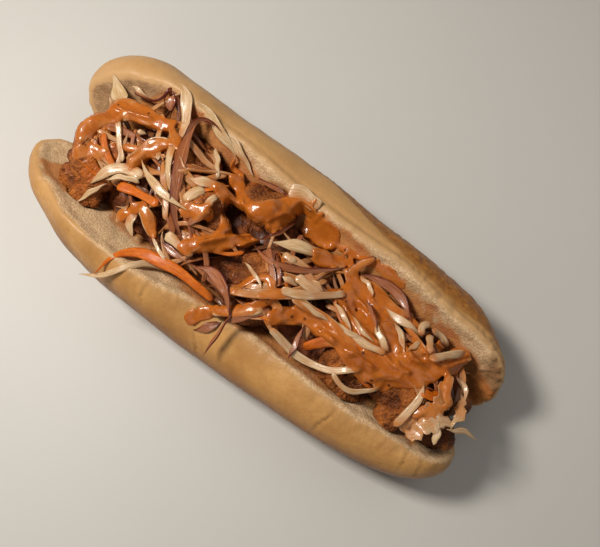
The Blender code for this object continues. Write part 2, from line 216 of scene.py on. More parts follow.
def smoothPoints(mesh, points, rounds, strength=0.5):
    edges = np.empty(len(mesh.edges) * 2, dtype=np.int32)
    mesh.edges.foreach_get("vertices", edges)
    edges = edges.reshape(-1, 2)
    count = np.bincount(edges.ravel(), minlength=len(points))[:, None]
    for turn in range(rounds):
        around = np.zeros_like(points)
        for axis in range(3):
            around[:, axis] += np.bincount(edges[:, 0], points[edges[:, 1], axis], len(points))
            around[:, axis] += np.bincount(edges[:, 1], points[edges[:, 0], axis], len(points))
        points = points + (around / count - points) * strength
    return points


def remesh(made, voxel):
    modifier = made.modifiers.new("voxels", "REMESH")
    modifier.mode = "VOXEL"
    modifier.voxel_size = voxel * mm
    graph = bpy.context.evaluated_depsgraph_get()
    solid = bpy.data.meshes.new_from_object(made.evaluated_get(graph))
    made.modifiers.clear()
    made.data = solid
    solid.name = made.name
    solid.shade_smooth()


def finishPiece(made, material, slot, *nodes):
    made.data.materials.clear()
    made.data.materials.append(material)
    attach(made, "root")
    if nodes:
        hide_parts(*nodes)
    print(made.name, len(made.data.polygons), "faces")


# Shader nodes

def isSocket(value):
    return isinstance(value, bpy.types.NodeSocket)


def addNode(tree, kind, inputs=None, **settings):
    made = tree.nodes.new(kind)
    for key, value in settings.items():
        setattr(made, key, value)
    for key, value in (inputs or {}).items():
        if isSocket(value):
            tree.links.new(value, made.inputs[key])
        else:
            made.inputs[key].default_value = value
    return made


def mixColour(share, first, second):
    first, second = (value if isSocket(value) else (*value, 1) for value in (first, second))
    inputs = {0: share, 6: first, 7: second}
    return addNode(share.id_data, "ShaderNodeMix", inputs, data_type="RGBA").outputs[2]


def cover(colour, *coats):
    # each coat is its mask, how much of the mask counts, and its colour
    for mask, share, over in coats:
        colour = mixColour(times(mask, share), colour, over)
    return colour


def calculate(operation, first, second):
    tree = (first if isSocket(first) else second).id_data
    return addNode(tree, "ShaderNodeMath", {0: first, 1: second}, operation=operation).outputs[0]


def times(first, second):
    return calculate("MULTIPLY", first, second)


def plus(first, second):
    return calculate("ADD", first, second)


def minus(first, second):
    return calculate("SUBTRACT", first, second)


def stretch(value, low, high, newLow=0.0, newHigh=1.0):
    inputs = {"Value": value, "From Min": low, "From Max": high, "To Min": newLow, "To Max": newHigh}
    made = addNode(value.id_data, "ShaderNodeMapRange", inputs, interpolation_type="SMOOTHSTEP")
    return made.outputs["Result"]


def noiseAt(where, size, detail, **more):
    inputs = {"Vector": where, "Scale": size, "Detail": detail, **more}
    return addNode(where.id_data, "ShaderNodeTexNoise", inputs).outputs


def cellsAt(where, size):
    return addNode(where.id_data, "ShaderNodeTexVoronoi", {"Vector": where, "Scale": size}).outputs


def moveVector(first, second, operation):
    inputs = {0: first, "Scale" if operation == "SCALE" else 1: second}
    return addNode(first.id_data, "ShaderNodeVectorMath", inputs, operation=operation).outputs[0]


def readMarks(where, *names):
    tree = where.id_data
    return [addNode(tree, "ShaderNodeAttribute", attribute_name=name).outputs["Fac"] for name in names]


def newGroup(name, inputs, output):
    # the first input is the place, and all other sockets are numbers
    group = bpy.data.node_groups.new(name, "ShaderNodeTree")
    group.interface.new_socket("Vector", in_out="INPUT", socket_type="NodeSocketVector")
    for label, value in inputs.items():
        group.interface.new_socket(label, in_out="INPUT", socket_type="NodeSocketFloat").default_value = value
    group.interface.new_socket(output, in_out="OUTPUT", socket_type="NodeSocketFloat")
    result = group.nodes.new("NodeGroupOutput").inputs[output]
    return group, group.nodes.new("NodeGroupInput").outputs, result


def buildMottle():
    # soft cloudy patches, broken up by finer ones
    group, given, result = newGroup("mottle", {"Size": 100.0, "Contrast": 0.3}, "Mask")
    cloud = noiseAt(given["Vector"], given["Size"], 4.0, Roughness=0.6)["Fac"]
    mask = stretch(cloud, minus(0.5, given["Contrast"]), plus(0.5, given["Contrast"]))
    group.links.new(mask, result)
    return group


def buildSpecks():
    # scattered dots: 1 in a dot and 0 between them
    group, given, result = newGroup("specks", {"Size": 900.0, "Share": 0.2}, "Mask")
    cells = cellsAt(given["Vector"], given["Size"])
    pick = addNode(group, "ShaderNodeSeparateColor", {"Color": cells["Color"]}).outputs["Red"]
    dot = stretch(cells["Distance"], 0.22, 0.42, 1.0, 0.0)
    group.links.new(times(calculate("LESS_THAN", pick, given["Share"]), dot), result)
    return group


def buildPits():
    # open pores of two sizes: 0 in a pore and 1 between them
    group, given, result = newGroup("pits", {"Size": 700.0, "Wobble": 0.0006}, "Height")
    where, size = given["Vector"], given["Size"]
    drift = moveVector(noiseAt(where, size, 2.0)["Color"], (0.5, 0.5, 0.5), "SUBTRACT")
    moved = moveVector(where, moveVector(drift, given["Wobble"], "SCALE"), "ADD")
    wide = stretch(cellsAt(moved, size)["Distance"], 0.15, 0.6)
    fine = stretch(cellsAt(moved, times(size, 2.3))["Distance"], 0.1, 0.6)
    group.links.new(times(wide, plus(0.5, times(fine, 0.5))), result)
    return group


def useGroup(group, where, **inputs):
    return addNode(where.id_data, "ShaderNodeGroup", {"Vector": where, **inputs}, node_tree=group).outputs[0]


def newMaterial(name, fixed):
    # the fixed values sit on the shader's own sockets
    made = bpy.data.materials.new(name)
    made.use_nodes = True
    shader = made.node_tree.nodes["Principled BSDF"]
    for label, value in fixed.items():
        shader.inputs[label].default_value = value
    return made, shader, addNode(made.node_tree, "ShaderNodeTexCoord").outputs["Object"]


def finishLook(shader, colour, roughness, height, depth, strength):
    tree = shader.id_data
    relief = addNode(tree, "ShaderNodeBump", {"Height": height, "Distance": depth * mm, "Strength": strength})
    tree.links.new(colour, shader.inputs["Base Color"])
    tree.links.new(roughness, shader.inputs["Roughness"])
    tree.links.new(relief.outputs["Normal"], shader.inputs["Normal"])


mottle = buildMottle()
specks = buildSpecks()
pits = buildPits()
print("shader groups built")


# Floor

def addFloor():
    bpy.ops.mesh.primitive_plane_add(size=room["floorSize"] * mm)
    floor = bpy.context.object
    floor.name = "floor"
    material, shader, where = newMaterial("paleFloor", {"Roughness": 0.55})
    cloud = useGroup(mottle, where, Size=9.0, Contrast=0.4)
    colour = mixColour(cloud, room["floorColour"], tuple(0.97 * part for part in room["floorColour"]))
    where.id_data.links.new(colour, shader.inputs["Base Color"])
    floor.data.materials.append(material)


# The roll

# Each loaf: where it ends, how blunt each end is, and its sections, which are x, the middle's y and z, and
# the half width and half height there.
roll = {
    "nearLoaf": {
        "ends": (-129, 120.5),
        "blunt": (3.7, 3.8),
        "sections": (
            (-132, -15, 18, 32, 21), (-105, -19, 20.5, 28.5, 25.5), (-78, -23, 23, 27, 29),
            (-45, -25, 23, 27, 28), (0, -24, 18, 27.5, 21.5), (45, -22.5, 18, 26.7, 22),
            (85, -22.6, 19, 26.3, 22.5), (123, -20.7, 20, 29, 26),
        ),
        "seed": 3,
    },
    "farLoaf": {
        "ends": (-128.5, 120.5),
        "blunt": (4.6, 5.0),
        "sections": (
            (-124, 31, 25, 30, 23), (-100, 30.5, 25, 28.6, 28.7), (-78, 27.5, 27, 27, 31),
            (-45, 27, 25, 27, 28), (0, 27, 23, 27.5, 25.7), (45, 26, 22, 25.6, 26),
            (85, 25, 20.5, 26, 24.5), (121, 18.5, 22, 26.5, 28),
        ),
        "seed": 11,
    },
    "foldCrust": {
        "ends": (-103, 103),
        "blunt": (2.4, 2.4),
        "sections": ((-103, 0, 4, 19, 7.5), (103, 0, 4, 19, 7.5)),
        "seed": 5,
    },
    "sectionPower": 2.3,
    "endHeightPower": 0.75,
    "relief": 1.4,
    "grain": 28,
    "foldHeight": 12,
    "nearRise": 41.6,
    "farRise": 48.4,
    "voxel": 1.02,
    "rings": 150,
    "around": 120,
    # pale band along the far lip: x, and the depth below the cut face where the brown begins
    "band": ((-125, 24), (0, 20), (24, 14), (42, 8.5), (60, 5.8), (95, 5.8), (110, 8), (120, 13)),
    # how far the crust folds over onto the cut faces: x, near half, far half
    "rim": ((-125, 2.0, 3.6), (-100, 2.0, 3.6), (-70, 1.0, 1.6), (-45, 0.2, 0.2), (115, 0.0, 0.0)),
    # creases across the near crust: x at the lip, x lower down, how far down they reach, depth
    "creases": (
        (-8, 3, 26, 0.8), (-31, -29, 15, 0.4), (67, 62, 24, 0.8),
        (92, 90, 9, 0.45), (101, 103, 16, 0.5), (108, 111, 18, 0.4),
    ),
}
foldPoint = np.array((0, 0, roll["foldHeight"])) * mm


def faceNormal(rise, side):
    angle = math.radians(rise)
    return np.array((0, -side * math.sin(angle), math.cos(angle)))


nearNormal = faceNormal(roll["nearRise"], -1)
farNormal = faceNormal(roll["farRise"], 1)


def loafShape(loaf, rings, around):
    left, right = loaf["ends"]
    along = -np.cos(np.linspace(0, math.pi, rings + 2)[1:-1])
    angle = np.linspace(0, 2 * math.pi, around, endpoint=False)
    blunt = np.where(along < 0, *loaf["blunt"])
    end = np.sqrt(np.clip(1 - np.abs(along) ** blunt, 0, 1))
    x = left + (right - left) * (along + 1) / 2
    stations = np.array(loaf["sections"])
    centreY, centreZ, radiusY, radiusZ = (easeAlong(x, stations[:, 0], values) for values in stations.T[1:])
    power = 2 / roll["sectionPower"]
    wide = np.sign(np.cos(angle)) * np.abs(np.cos(angle)) ** power
    tall = np.sign(np.sin(angle)) * np.abs(np.sin(angle)) ** power
    y = centreY[:, None] + (radiusY * end)[:, None] * wide
    z = centreZ[:, None] + (radiusZ * end ** roll["endHeightPower"])[:, None] * tall
    rings3d = np.stack((np.repeat(x[:, None], around, axis=1), y, z), axis=-1) * mm
    return turnOutward(tubeShape(rings3d))


def easeAlong(x, stations, values):
    place = np.clip(np.searchsorted(stations, x) - 1, 0, len(stations) - 2)
    share = ease(x, stations[place], stations[place + 1])
    return values[place] + (values[place + 1] - values[place]) * share


def makeHalf(name, loaf, normal):
    half = meshFrom(name, [loafShape(loaf, roll["rings"], roll["around"])])
    points, normals = pointsOf(half.data), normalsOf(half.data)
    shift = Vector((loaf["seed"], 0, 0))
    lift = [noise.noise(Vector(point) * roll["grain"] + shift) for point in points]
    movePoints(half.data, points + normals * (np.array(lift) * roll["relief"] * mm)[:, None])
    bm = bmesh.new()
    bm.from_mesh(half.data)
    cuts = [] if normal is None else [(foldPoint, normal)]
    for point, direction in cuts + [((0, 0, 0), (0, 0, -1))]:
        geometry = bm.verts[:] + bm.edges[:] + bm.faces[:]
        bmesh.ops.bisect_plane(bm, geom=geometry, plane_co=point, plane_no=direction, clear_outer=True)
        bmesh.ops.holes_fill(bm, edges=[edge for edge in bm.edges if edge.is_boundary], sides=0)
    bm.to_mesh(half.data)
    bm.free()
    return half


def joinObjects(parts, name):
    bm = bmesh.new()
    for part in parts:
        bm.from_mesh(part.data)
        bpy.data.objects.remove(part, do_unlink=True)
    mesh = bpy.data.meshes.new(name)
    bm.to_mesh(mesh)
    bm.free()
    made = bpy.data.objects.new(name, mesh)
    bpy.context.scene.collection.objects.link(made)
    return made


def makeRoll():
    parts = [
        makeHalf("nearHalf", roll["nearLoaf"], nearNormal),
        makeHalf("farHalf", roll["farLoaf"], farNormal),
        makeHalf("foldStrip", roll["foldCrust"], None),
    ]
    bread = joinObjects(parts, "splitRoll")
    remesh(bread, roll["voxel"])
    mesh = bread.data
    points = smoothPoints(mesh, pointsOf(mesh), 9)
    movePoints(mesh, points)
    x, y, z = points.T / mm
    nearDepth = -(points - foldPoint) @ nearNormal / mm
    farDepth = -(points - foldPoint) @ farNormal / mm
    far = ease(y, -1.5, 1.5)
    depth = np.where(y < 0, nearDepth, farDepth)
    gap = lipDistance(points, depth)
    rimAt = [np.interp(x, *np.array(roll["rim"])[:, (0, place)].T) for place in (1, 2)]
    rim = np.where(y < 0, *rimAt) + 0.8 * softNoise(points, 7, 5) + 0.3 * softNoise(points, 2, 20)
    torn = 7 * far * ease(x, 107, 117) + (1 - far) * 2.2 * ease(x, -50, 0) + 0.7 * softNoise(points, 3, 22)
    crumb = (1 - ease(depth, 0.9 + torn, 1.7 + torn)) * ease(gap, rim - 1.2, rim - 0.2)
    band = np.interp(x, *np.array(roll["band"]).T)
    band = band + 1.6 * softNoise(points, 14, 4) + 0.8 * softNoise(points, 4, 21)

    # crumb: torn and open, with pores, hollowed a little between the lips
    openPores = nearestSpot(points, 1.9, 6)
    hollowed = 0.7 * softNoise(points, 11, 1) + 0.4 * softNoise(points, 5, 2) + 0.15 * softNoise(points, 3, 3)
    crumbLift = hollowed - 0.12 * (1 - ease(openPores, 0.15, 0.55)) - ease(gap, rim, rim + 5)
    crumbLift += 1.3 * far * ease(x, 101, 109) * (softNoise(points, 4, 29) + 0.6 * softNoise(points, 2, 30))

    # crust: gentle dents, fine wrinkles near the lips, and a soft double edge along the far lip
    nearLip = np.exp(-((depth - 2.0) / 2.5) ** 2)
    crustLift = 0.25 * softNoise(points, 16, 7) + 0.12 * softNoise(points, 5, 8)
    crustLift += nearLip * (0.35 * softNoise(points, 6, 9) + 0.2 * softNoise(points, 2.6, 10))
    folded = np.column_stack((points[:, 0], depth * 0.22 * mm, far * 0.2))
    wrinkles = 1 - 2.4 * np.abs(softNoise(folded, 4.5, 23))
    crustLift += 0.28 * wrinkles * np.exp(-((depth - 3) / 5) ** 2) * (0.35 + 0.65 * ease(x, 30, 85))
    ridge = np.exp(-((depth - 2.4) / 1.1) ** 2) - 0.7 * np.exp(-((depth - 4.6) / 1.2) ** 2)
    crustLift += far * ridge * 0.8 * ease(x, -70, -30) * (0.7 + 0.6 * softNoise(points, 12, 12))
    crustLift -= far * 0.7 * ease(depth, band - 0.8, band + 0.8)
    wrinkled = far * (1 - ease(depth, band - 2, band + 2)) * ease(x, 20, 60)
    crustLift -= wrinkled * 0.5 * (1 - ease(np.abs(softNoise(points, 6, 13)), 0.0, 0.16))
    rough = far * ease(depth, band, band + 3)
    crustLift += rough * (0.35 * softNoise(points, 3.2, 14) + 0.25 * softNoise(points, 1.6, 15))
    crease = np.zeros(len(points))
    for top, low, reach, cut in roll["creases"]:
        line = top + (low - top) * depth / reach
        off = x - (line + 1.4 * softNoise(points, 9, 16) + 0.8 * softNoise(points, 3, 27))
        faded = (1 - far) * ease(depth, 0.5, 2) * (1 - ease(depth, reach * 0.7, reach))
        faded = faded * (0.7 + 0.8 * softNoise(points, 6, 28))
        crease += faded * cut * (np.exp(-(off / 0.6) ** 2) - 0.5 * np.exp(-((off + 1.3) / 0.9) ** 2))
    crustLift -= crease
    # the far groove only darkens the colour: painted shade
    groove = far * np.exp(-((depth - 4.6) / 0.8) ** 2) * ease(x, -70, -30) * (0.5 + softNoise(points, 7, 24))
    crease = np.maximum(crease, 0.7 * groove)

    lift = crumb * crumbLift + (1 - crumb) * crustLift
    inHeap = ease(z, 6, 14)
    points = points + normalsOf(mesh) * (lift * inHeap * mm)[:, None]
    points[:, 2] = np.maximum(points[:, 2], 0.0)
    movePoints(mesh, points)

    setMark(mesh, "crumb", crumb)
    setMark(mesh, "toast", far * ease(depth, band - 1.5, band + 2.5))
    setMark(mesh, "pale", np.exp(-(depth / 3.5) ** 2) + far * (1 - ease(depth, band - 3, band)))
    # painted shade: the crease mark darkens the crust in the creases and along the far groove
    setMark(mesh, "crease", np.clip(crease * 1.2, 0, 1))
    # browner crust deeper below the lip, and painted shade where the crust turns sideways or down
    bakedAndShade = ease(depth + 5 * softNoise(points, 22, 25) + 1.5 * softNoise(points, 6, 26), 9, 26)
    upward = normalsOf(mesh)[:, 2] + 0.12 * softNoise(points, 12, 31)
    setMark(mesh, "bakedAndShade", 0.65 * bakedAndShade + 0.7 * (1 - ease(upward, 0.05, 0.6)))
    # painted shade: the far crumb is darkened at its left end and at its torn right end
    setMark(mesh, "paintedShade", far * np.maximum(1 - ease(x, -95, -55), 1.4 * ease(x, 103, 112)))
    low, high = heapLimits(x)
    spread = 0.3 + 2.6 * softNoise(points, 8, 17) + 1.6 * softNoise(points, 3.0, 18)
    dry = 5 * ease(x, -98, -88) * (1 - ease(x, -40, -20))
    nearStain = ease(y - low - dry + spread, -2.5, 1.5)
    farStain = ease(high - y + spread + 2.5 * ease(x, -10, 30), -1.5, 1.5)
    stain = np.where(y < 0, nearStain, farStain)
    patch = np.hypot((x + 101) / 15, (y + 21) / 7) + 0.45 * softNoise(points, 6, 19)
    stain = np.maximum(stain * ease(x, -105, -92), 1 - ease(patch, 0.7, 1.05))
    setMark(mesh, "stain", stain * crumb)
    return bread


def lipDistance(points, depth):
    # from each point of the cut faces to the crust just below the nearest lip, in mm
    lips = np.flatnonzero((depth > 1.8) & (depth < 3.2))
    tree = KDTree(len(lips))
    for number, lip in enumerate(lips):
        tree.insert(points[lip], number)
    tree.balance()
    gap = np.zeros(len(points))
    for spot in np.flatnonzero(depth < 2.5):
        gap[spot] = tree.find(points[spot])[2] / mm
    return gap - 2


def keptInFold(points, gap):
    # points that would go into the bread are moved out to its cut faces
    for normal in (nearNormal, farNormal):
        depth = (points - foldPoint) @ normal - gap * mm
        points -= np.minimum(depth, 0)[:, None] * normal
    return points


heap = {
    # x, then the y of the near and far edges of the filling
    "edges": (
        (-105, -14, 8), (-92, -22, 27), (-79, -24, 36), (-64, -29, 37), (-49, -30, 35), (-29, -30, 31),
        (0, -33, 30), (26, -28, 29), (53, -29, 26), (77, -22, 23), (91, -24, 20), (100, -23, 19),
        (112, -14, 14),
    ),
}


def heapLimits(x):
    edges = np.array(heap["edges"])
    return np.interp(x, edges[:, 0], edges[:, 1]), np.interp(x, edges[:, 0], edges[:, 2])


# A pair of colours is the ends of a mix. A number and a colour is a coat: how much of it counts.
breadLook = {
    "shader": {
        "Subsurface Weight": 0.08,
        "Subsurface Scale": 0.004,
        "Subsurface Radius": (1.0, 0.6, 0.35),
        "Specular IOR Level": 0.36,
    },
    "crust": ((0.46, 0.215, 0.055), (0.67, 0.355, 0.11)),
    "grain": (0.42, (0.43, 0.19, 0.05)),
    # browner crust, which also serves as painted shade on the sides facing sideways or down
    "bakedAndShade": (0.75, (0.28, 0.10, 0.019)),
    "paleLip": (0.5, (0.56, 0.33, 0.145)),
    "brown": ((0.22, 0.068, 0.009), (0.47, 0.19, 0.03)),
    # painted shade in the creases
    "crease": (0.3, (0.36, 0.17, 0.05)),
    "crumb": ((0.52, 0.32, 0.155), (0.77, 0.53, 0.305)),
    "pore": (0.22, (0.42, 0.24, 0.12)),
    "patch": (0.3, (0.50, 0.31, 0.15)),
    # colour of the painted shade on the far crumb at both ends
    "paintedShade": (0.27, 0.13, 0.05),
    "soaked": ((0.40, 0.10, 0.015), (0.52, 0.20, 0.04)),
}


def rollMaterial():
    look = breadLook
    material, shader, where = newMaterial("bread", look["shader"])
    crumb, toast, pale, stain, crease, bakedAndShade, paintedShade = readMarks(
        where, "crumb", "toast", "pale", "stain", "crease", "bakedAndShade", "paintedShade"
    )
    cloud = useGroup(mottle, where, Size=45.0, Contrast=0.22)
    fine = useGroup(mottle, where, Size=420.0, Contrast=0.3)
    patchy = useGroup(mottle, where, Size=160.0, Contrast=0.2)
    pores = minus(1.0, useGroup(pits, where, Size=620.0, Wobble=0.0008))
    grains = stretch(noiseAt(where, 1300.0, 1.0)["Fac"], 0.3, 0.66)
    wrinkle = noiseAt(where, 900.0, 3.0)["Fac"]
    crust = mixColour(cloud, *look["crust"])
    crust = cover(crust, (fine, *look["grain"]), (bakedAndShade, *look["bakedAndShade"]), (pale, *look["paleLip"]))
    crust = mixColour(toast, crust, mixColour(fine, *look["brown"]))
    crust = cover(crust, (crease, *look["crease"]))
    inside = cover(mixColour(grains, *look["crumb"]), (pores, *look["pore"]), (patchy, *look["patch"]))
    # painted shade on the far crumb
    inside = mixColour(times(paintedShade, plus(0.6, times(patchy, 0.2))), inside, look["paintedShade"])
    inside = cover(inside, (stain, 0.85, mixColour(patchy, *look["soaked"])))
    rough = plus(plus(0.34, times(fine, 0.2)), times(crumb, 0.4))
    heights = {0: crumb, 2: times(wrinkle, 0.4), 3: times(grains, 0.28)}
    height = addNode(where.id_data, "ShaderNodeMix", heights).outputs[0]
    finishLook(shader, mixColour(crumb, crust, inside), rough, height, 0.55, 0.9)
    return material


# The fried shrimp

shrimp = {
    # centre, tilt about X, turn of the curl, size, how much dressing coats it
    "shrimp_left_top": ((-88, -4, 43), 10, 215, 1.05, 0.6),
    "shrimp_left_low": ((-92, -20, 36), 40, 20, 0.9, 0.3),
    "shrimp_wall_left": ((-50, 20, 43), -46, 160, 0.95, 0.3),
    "shrimp_wall_mid": ((-14, 23, 42), -46, 20, 1.0, 0.3),
    "shrimp_mid_left": ((-27, -4, 44), 24, 200, 0.95, 0.3),
    "shrimp_mid": ((6, -14, 42), 26, 20, 0.95, 0.2),
    "shrimp_near_right": ((62, -18, 38), 36, 205, 0.86, 0.1),
    "shrimp_right": ((84, -13, 37), 30, 10, 0.9, 0.1),
    "shrimp_right_low": ((103, -18, 31), 30, 120, 0.75, 0.1),
    "shrimp_right_end": ((99, 3, 34), -10, 250, 0.8, 0.2),
}
batter = {
    "curlRadius": 12,
    "bodyRadius": 7.6,
    "halfCurl": 104,
    "offset": 4.5,
    "relief": 0.34,
    "grain": 1.7,
    "rings": 60,
    "around": 48,
    # the batter that closes the curl: radius and half thickness
    "web": (9.0, 4.6),
    "voxel": 0.5,
    # size and height of each layer of crags
    "crags": ((6.0, 1.1), (2.6, 0.75), (1.3, 0.38)),
}


def makeShrimp(number, name):
    centre, tilt, turn, size, coat = shrimp[name]
    polar = np.linspace(0, math.pi, batter["rings"] + 2)[1:-1]
    angle = np.linspace(0, 2 * math.pi, batter["around"], endpoint=False)
    along = (-1 + 2 * polar / math.pi)[:, None]
    sphere = np.stack(
        (np.sin(polar)[:, None] * np.cos(angle), np.sin(polar)[:, None] * np.sin(angle),
         -np.cos(polar)[:, None] * np.ones_like(angle)),
        axis=-1,
    ).reshape(-1, 3)
    seed = Vector((5.3 * number, 0, 0))
    lumps = np.array([noise.noise(Vector(point) * batter["grain"] + seed) for point in sphere])
    taper = np.sqrt(np.clip(1 - np.abs(along) ** 3.2, 0, 1)) * (1 - 0.2 * along)
    thick = batter["bodyRadius"] * taper * (1 + batter["relief"] * lumps.reshape(len(polar), -1))
    reach = batter["curlRadius"] + thick * np.cos(angle)
    bend = math.radians(batter["halfCurl"]) * along
    rings = np.stack(
        (reach * np.cos(bend) - batter["offset"], reach * np.sin(bend), thick * np.sin(angle)), axis=-1
    ) * size * mm
    place = Matrix.Translation(Vector(centre) * mm)
    place = place @ Matrix.Rotation(math.radians(tilt), 4, "X") @ Matrix.Rotation(math.radians(turn), 4, "Z")
    spin = np.array(place.to_3x3())
    rings = rings @ spin.T + np.array(place.translation)
    radius, half = batter["web"]
    web = np.stack(
        (np.cos(angle) * np.sin(polar)[:, None] * radius - batter["offset"] + 1.5,
         np.sin(angle) * np.sin(polar)[:, None] * radius,
         -np.cos(polar)[:, None] * half * np.ones_like(angle)), axis=-1
    ) * size * mm
    web = web @ spin.T + np.array(place.translation)
    piece = meshFrom(name + "_fried", [turnOutward(tubeShape(rings)), turnOutward(tubeShape(web))])
    remesh(piece, batter["voxel"])
    movePoints(piece.data, smoothPoints(piece.data, pointsOf(piece.data), 4))
    points, normals = pointsOf(piece.data), normalsOf(piece.data)
    crag = np.zeros(len(points))
    for level, (cell, height) in enumerate(batter["crags"]):
        layer = softNoise(points, cell, 30 + 7 * number + level)
        crag += height * (1 - 2.2 * np.abs(layer)) if level else height * layer
    crag *= 1 - 0.55 * coat
    points = points + normals * (crag * 0.62 * mm)[:, None]
    movePoints(piece.data, keptInFold(points, 0.5))
    setMark(piece.data, "crag", ease(crag, -0.6, 1.3))
    drip = softNoise(points, 9, 40 + number) * 0.5 + 0.5
    facing = normalsOf(piece.data)[:, 2]
    setMark(piece.data, "coat", ease(drip + 0.35 * facing, 1.15 - coat, 1.45 - coat))
    return piece


def paintDeepShade(colour):
    # painted shade: what lies deep in the heap, or in a hollow, is darkened
    return cover(colour, (*readMarks(colour, "deep"), 0.82, (0.06, 0.010, 0.002)))


batterLook = {
    "shader": {"Subsurface Weight": 0.06, "Subsurface Scale": 0.003, "Specular IOR Level": 0.3},
    # the low parts of the crags are much darker: painted shade
    "low": ((0.07, 0.010, 0.002), (0.16, 0.032, 0.004)),
    "high": ((0.34, 0.08, 0.008), (0.52, 0.155, 0.02)),
    "grain": (0.3, (0.50, 0.18, 0.035)),
    "crumbs": (0.5, (0.13, 0.025, 0.005)),
    "glaze": ((0.40, 0.09, 0.010), (0.50, 0.135, 0.02)),
}


def batterMaterial():
    look = batterLook
    material, shader, where = newMaterial("friedBatter", look["shader"])
    crag, coat = readMarks(where, "crag", "coat")
    fine = useGroup(mottle, where, Size=700.0, Contrast=0.28)
    cloud = useGroup(mottle, where, Size=150.0, Contrast=0.25)
    crumbs = useGroup(specks, where, Size=1100.0, Share=0.3)
    grit = useGroup(pits, where, Size=900.0, Wobble=0.0006)
    # painted shade: darker batter in the low parts of the crags
    fried = mixColour(crag, mixColour(cloud, *look["low"]), mixColour(cloud, *look["high"]))
    fried = cover(fried, (fine, *look["grain"]), (crumbs, *look["crumbs"]))
    glazed = cover(fried, (coat, 0.9, mixColour(cloud, *look["glaze"])))
    rough = plus(plus(0.34, times(fine, 0.3)), times(coat, -0.2))
    height = times(grit, minus(1.0, times(coat, 0.75)))
    finishLook(shader, paintDeepShade(glazed), rough, height, 0.5, 0.9)
    return material


# The middle of the slaw, soaked in dressing; its very dark colour is partly painted shade in the gaps of the
# heap

core = {
    "loaf": {
        "ends": (-96, 107),
        "blunt": (6.0, 2.8),
        "sections": ((-97, 4, 26, 26, 14), (-50, 1, 23, 29, 17), (10, 1, 21, 29, 20), (108, -1, 21, 28, 16)),
    },
    "rings": 130,
    "around": 90,
}


def makeCore():
    piece = meshFrom("soakedSlaw", [loafShape(core["loaf"], core["rings"], core["around"])])
    points, normals = pointsOf(piece.data), normalsOf(piece.data)
    lift = 2.2 * softNoise(points, 13, 61) + 1.5 * (0.5 - 2 * np.abs(softNoise(points, 6, 62)))
    points = points + normals * (lift * mm)[:, None]
    movePoints(piece.data, keptInFold(points, 0.4))
    return piece


soakedShadeLook = {
    "shader": {"Specular IOR Level": 0.3, "Coat Weight": 0.08, "Coat Roughness": 0.2},
    # colours of the soaked slaw, made very dark as painted shade in the gaps
    "dark": ((0.05, 0.009, 0.002), (0.24, 0.058, 0.008)),
    "grain": (0.25, (0.28, 0.08, 0.018)),
}


def coreMaterial():
    look = soakedShadeLook
    material, shader, where = newMaterial("soaked", look["shader"])
    cloud = useGroup(mottle, where, Size=190.0, Contrast=0.15)
    fine = useGroup(mottle, where, Size=600.0, Contrast=0.3)
    colour = cover(mixColour(cloud, *look["dark"]), (fine, *look["grain"]))
    finishLook(shader, colour, plus(0.4, times(fine, 0.25)), cloud, 1.2, 0.8)
    return material


# A map of how high the food stands, in cells of half a millimetre

# above: a height that is over everything
pile = {"low": (-140, -70), "size": (560, 280), "cell": 0.5, "above": 200}
top = np.zeros(pile["size"])


def raiseMap(pieces):
    for piece in pieces:
        mesh = piece.data
        corners = [tuple(face.vertices) for face in mesh.polygons]
        tree = BVHTree.FromPolygons([tuple(vertex.co) for vertex in mesh.vertices], corners)
        points = pointsOf(mesh) / mm
        low = np.maximum((points.min(0)[:2] - pile["low"]) // 1, 0).astype(int)
        high = np.ceil(points.max(0)[:2] - pile["low"]).astype(int)
        for i in range(low[0], min(high[0] + 1, pile["size"][0] // 2)):
            for j in range(low[1], min(high[1] + 1, pile["size"][1] // 2)):
                start = Vector((pile["low"][0] + i + 0.5, pile["low"][1] + j + 0.5, pile["above"])) * mm
                hit = tree.ray_cast(start, Vector((0, 0, -1)))[0]
                if hit:
                    cells = (slice(2 * i, 2 * i + 2), slice(2 * j, 2 * j + 2))
                    top[cells] = np.maximum(top[cells], hit.z / mm)


def spreadMax(grid, reach):
    for axis in (0, 1):
        grown = grid.copy()
        for shift in range(1, reach + 1):
            grown = np.maximum(grown, np.maximum(np.roll(grid, shift, axis), np.roll(grid, -shift, axis)))
        grid = grown
    return grid


def blur(grid, rounds):
    for turn in range(rounds):
        for axis in (0, 1):
            grid = (np.roll(grid, 1, axis) + 2 * grid + np.roll(grid, -1, axis)) / 4
    return grid


def windowAt(x, y, radius):
    i, j = (int(round((value - low) / pile["cell"])) for value, low in zip((x, y), pile["low"]))
    reach = max(1, int(round(radius / pile["cell"])))
    return slice(max(i - reach, 0), max(i + reach + 1, 1)), slice(max(j - reach, 0), max(j + reach + 1, 1))


# Strips of cabbage, onion and carrot

# soak: how much dressing has gone into it from the start
kinds = {
    "cabbage": {"thickness": 1.2, "cup": 0.10, "wave": 0.25, "sink": 0.4},
    "rib": {"thickness": 1.8, "cup": 0.0, "wave": 0.12, "sink": 0.6},
    "leaf": {"thickness": 0.7, "cup": 0.10, "wave": 0.25, "sink": 0.3},
    "frill": {"thickness": 0.6, "cup": 0.05, "wave": 0.6, "sink": 0.2, "soak": 0.35},
    "onion": {"thickness": 0.9, "cup": 0.14, "wave": 0.15, "sink": 0.3},
    "carrot": {"thickness": 1.2, "cup": 0.0, "wave": 0.1, "sink": 0.4},
}
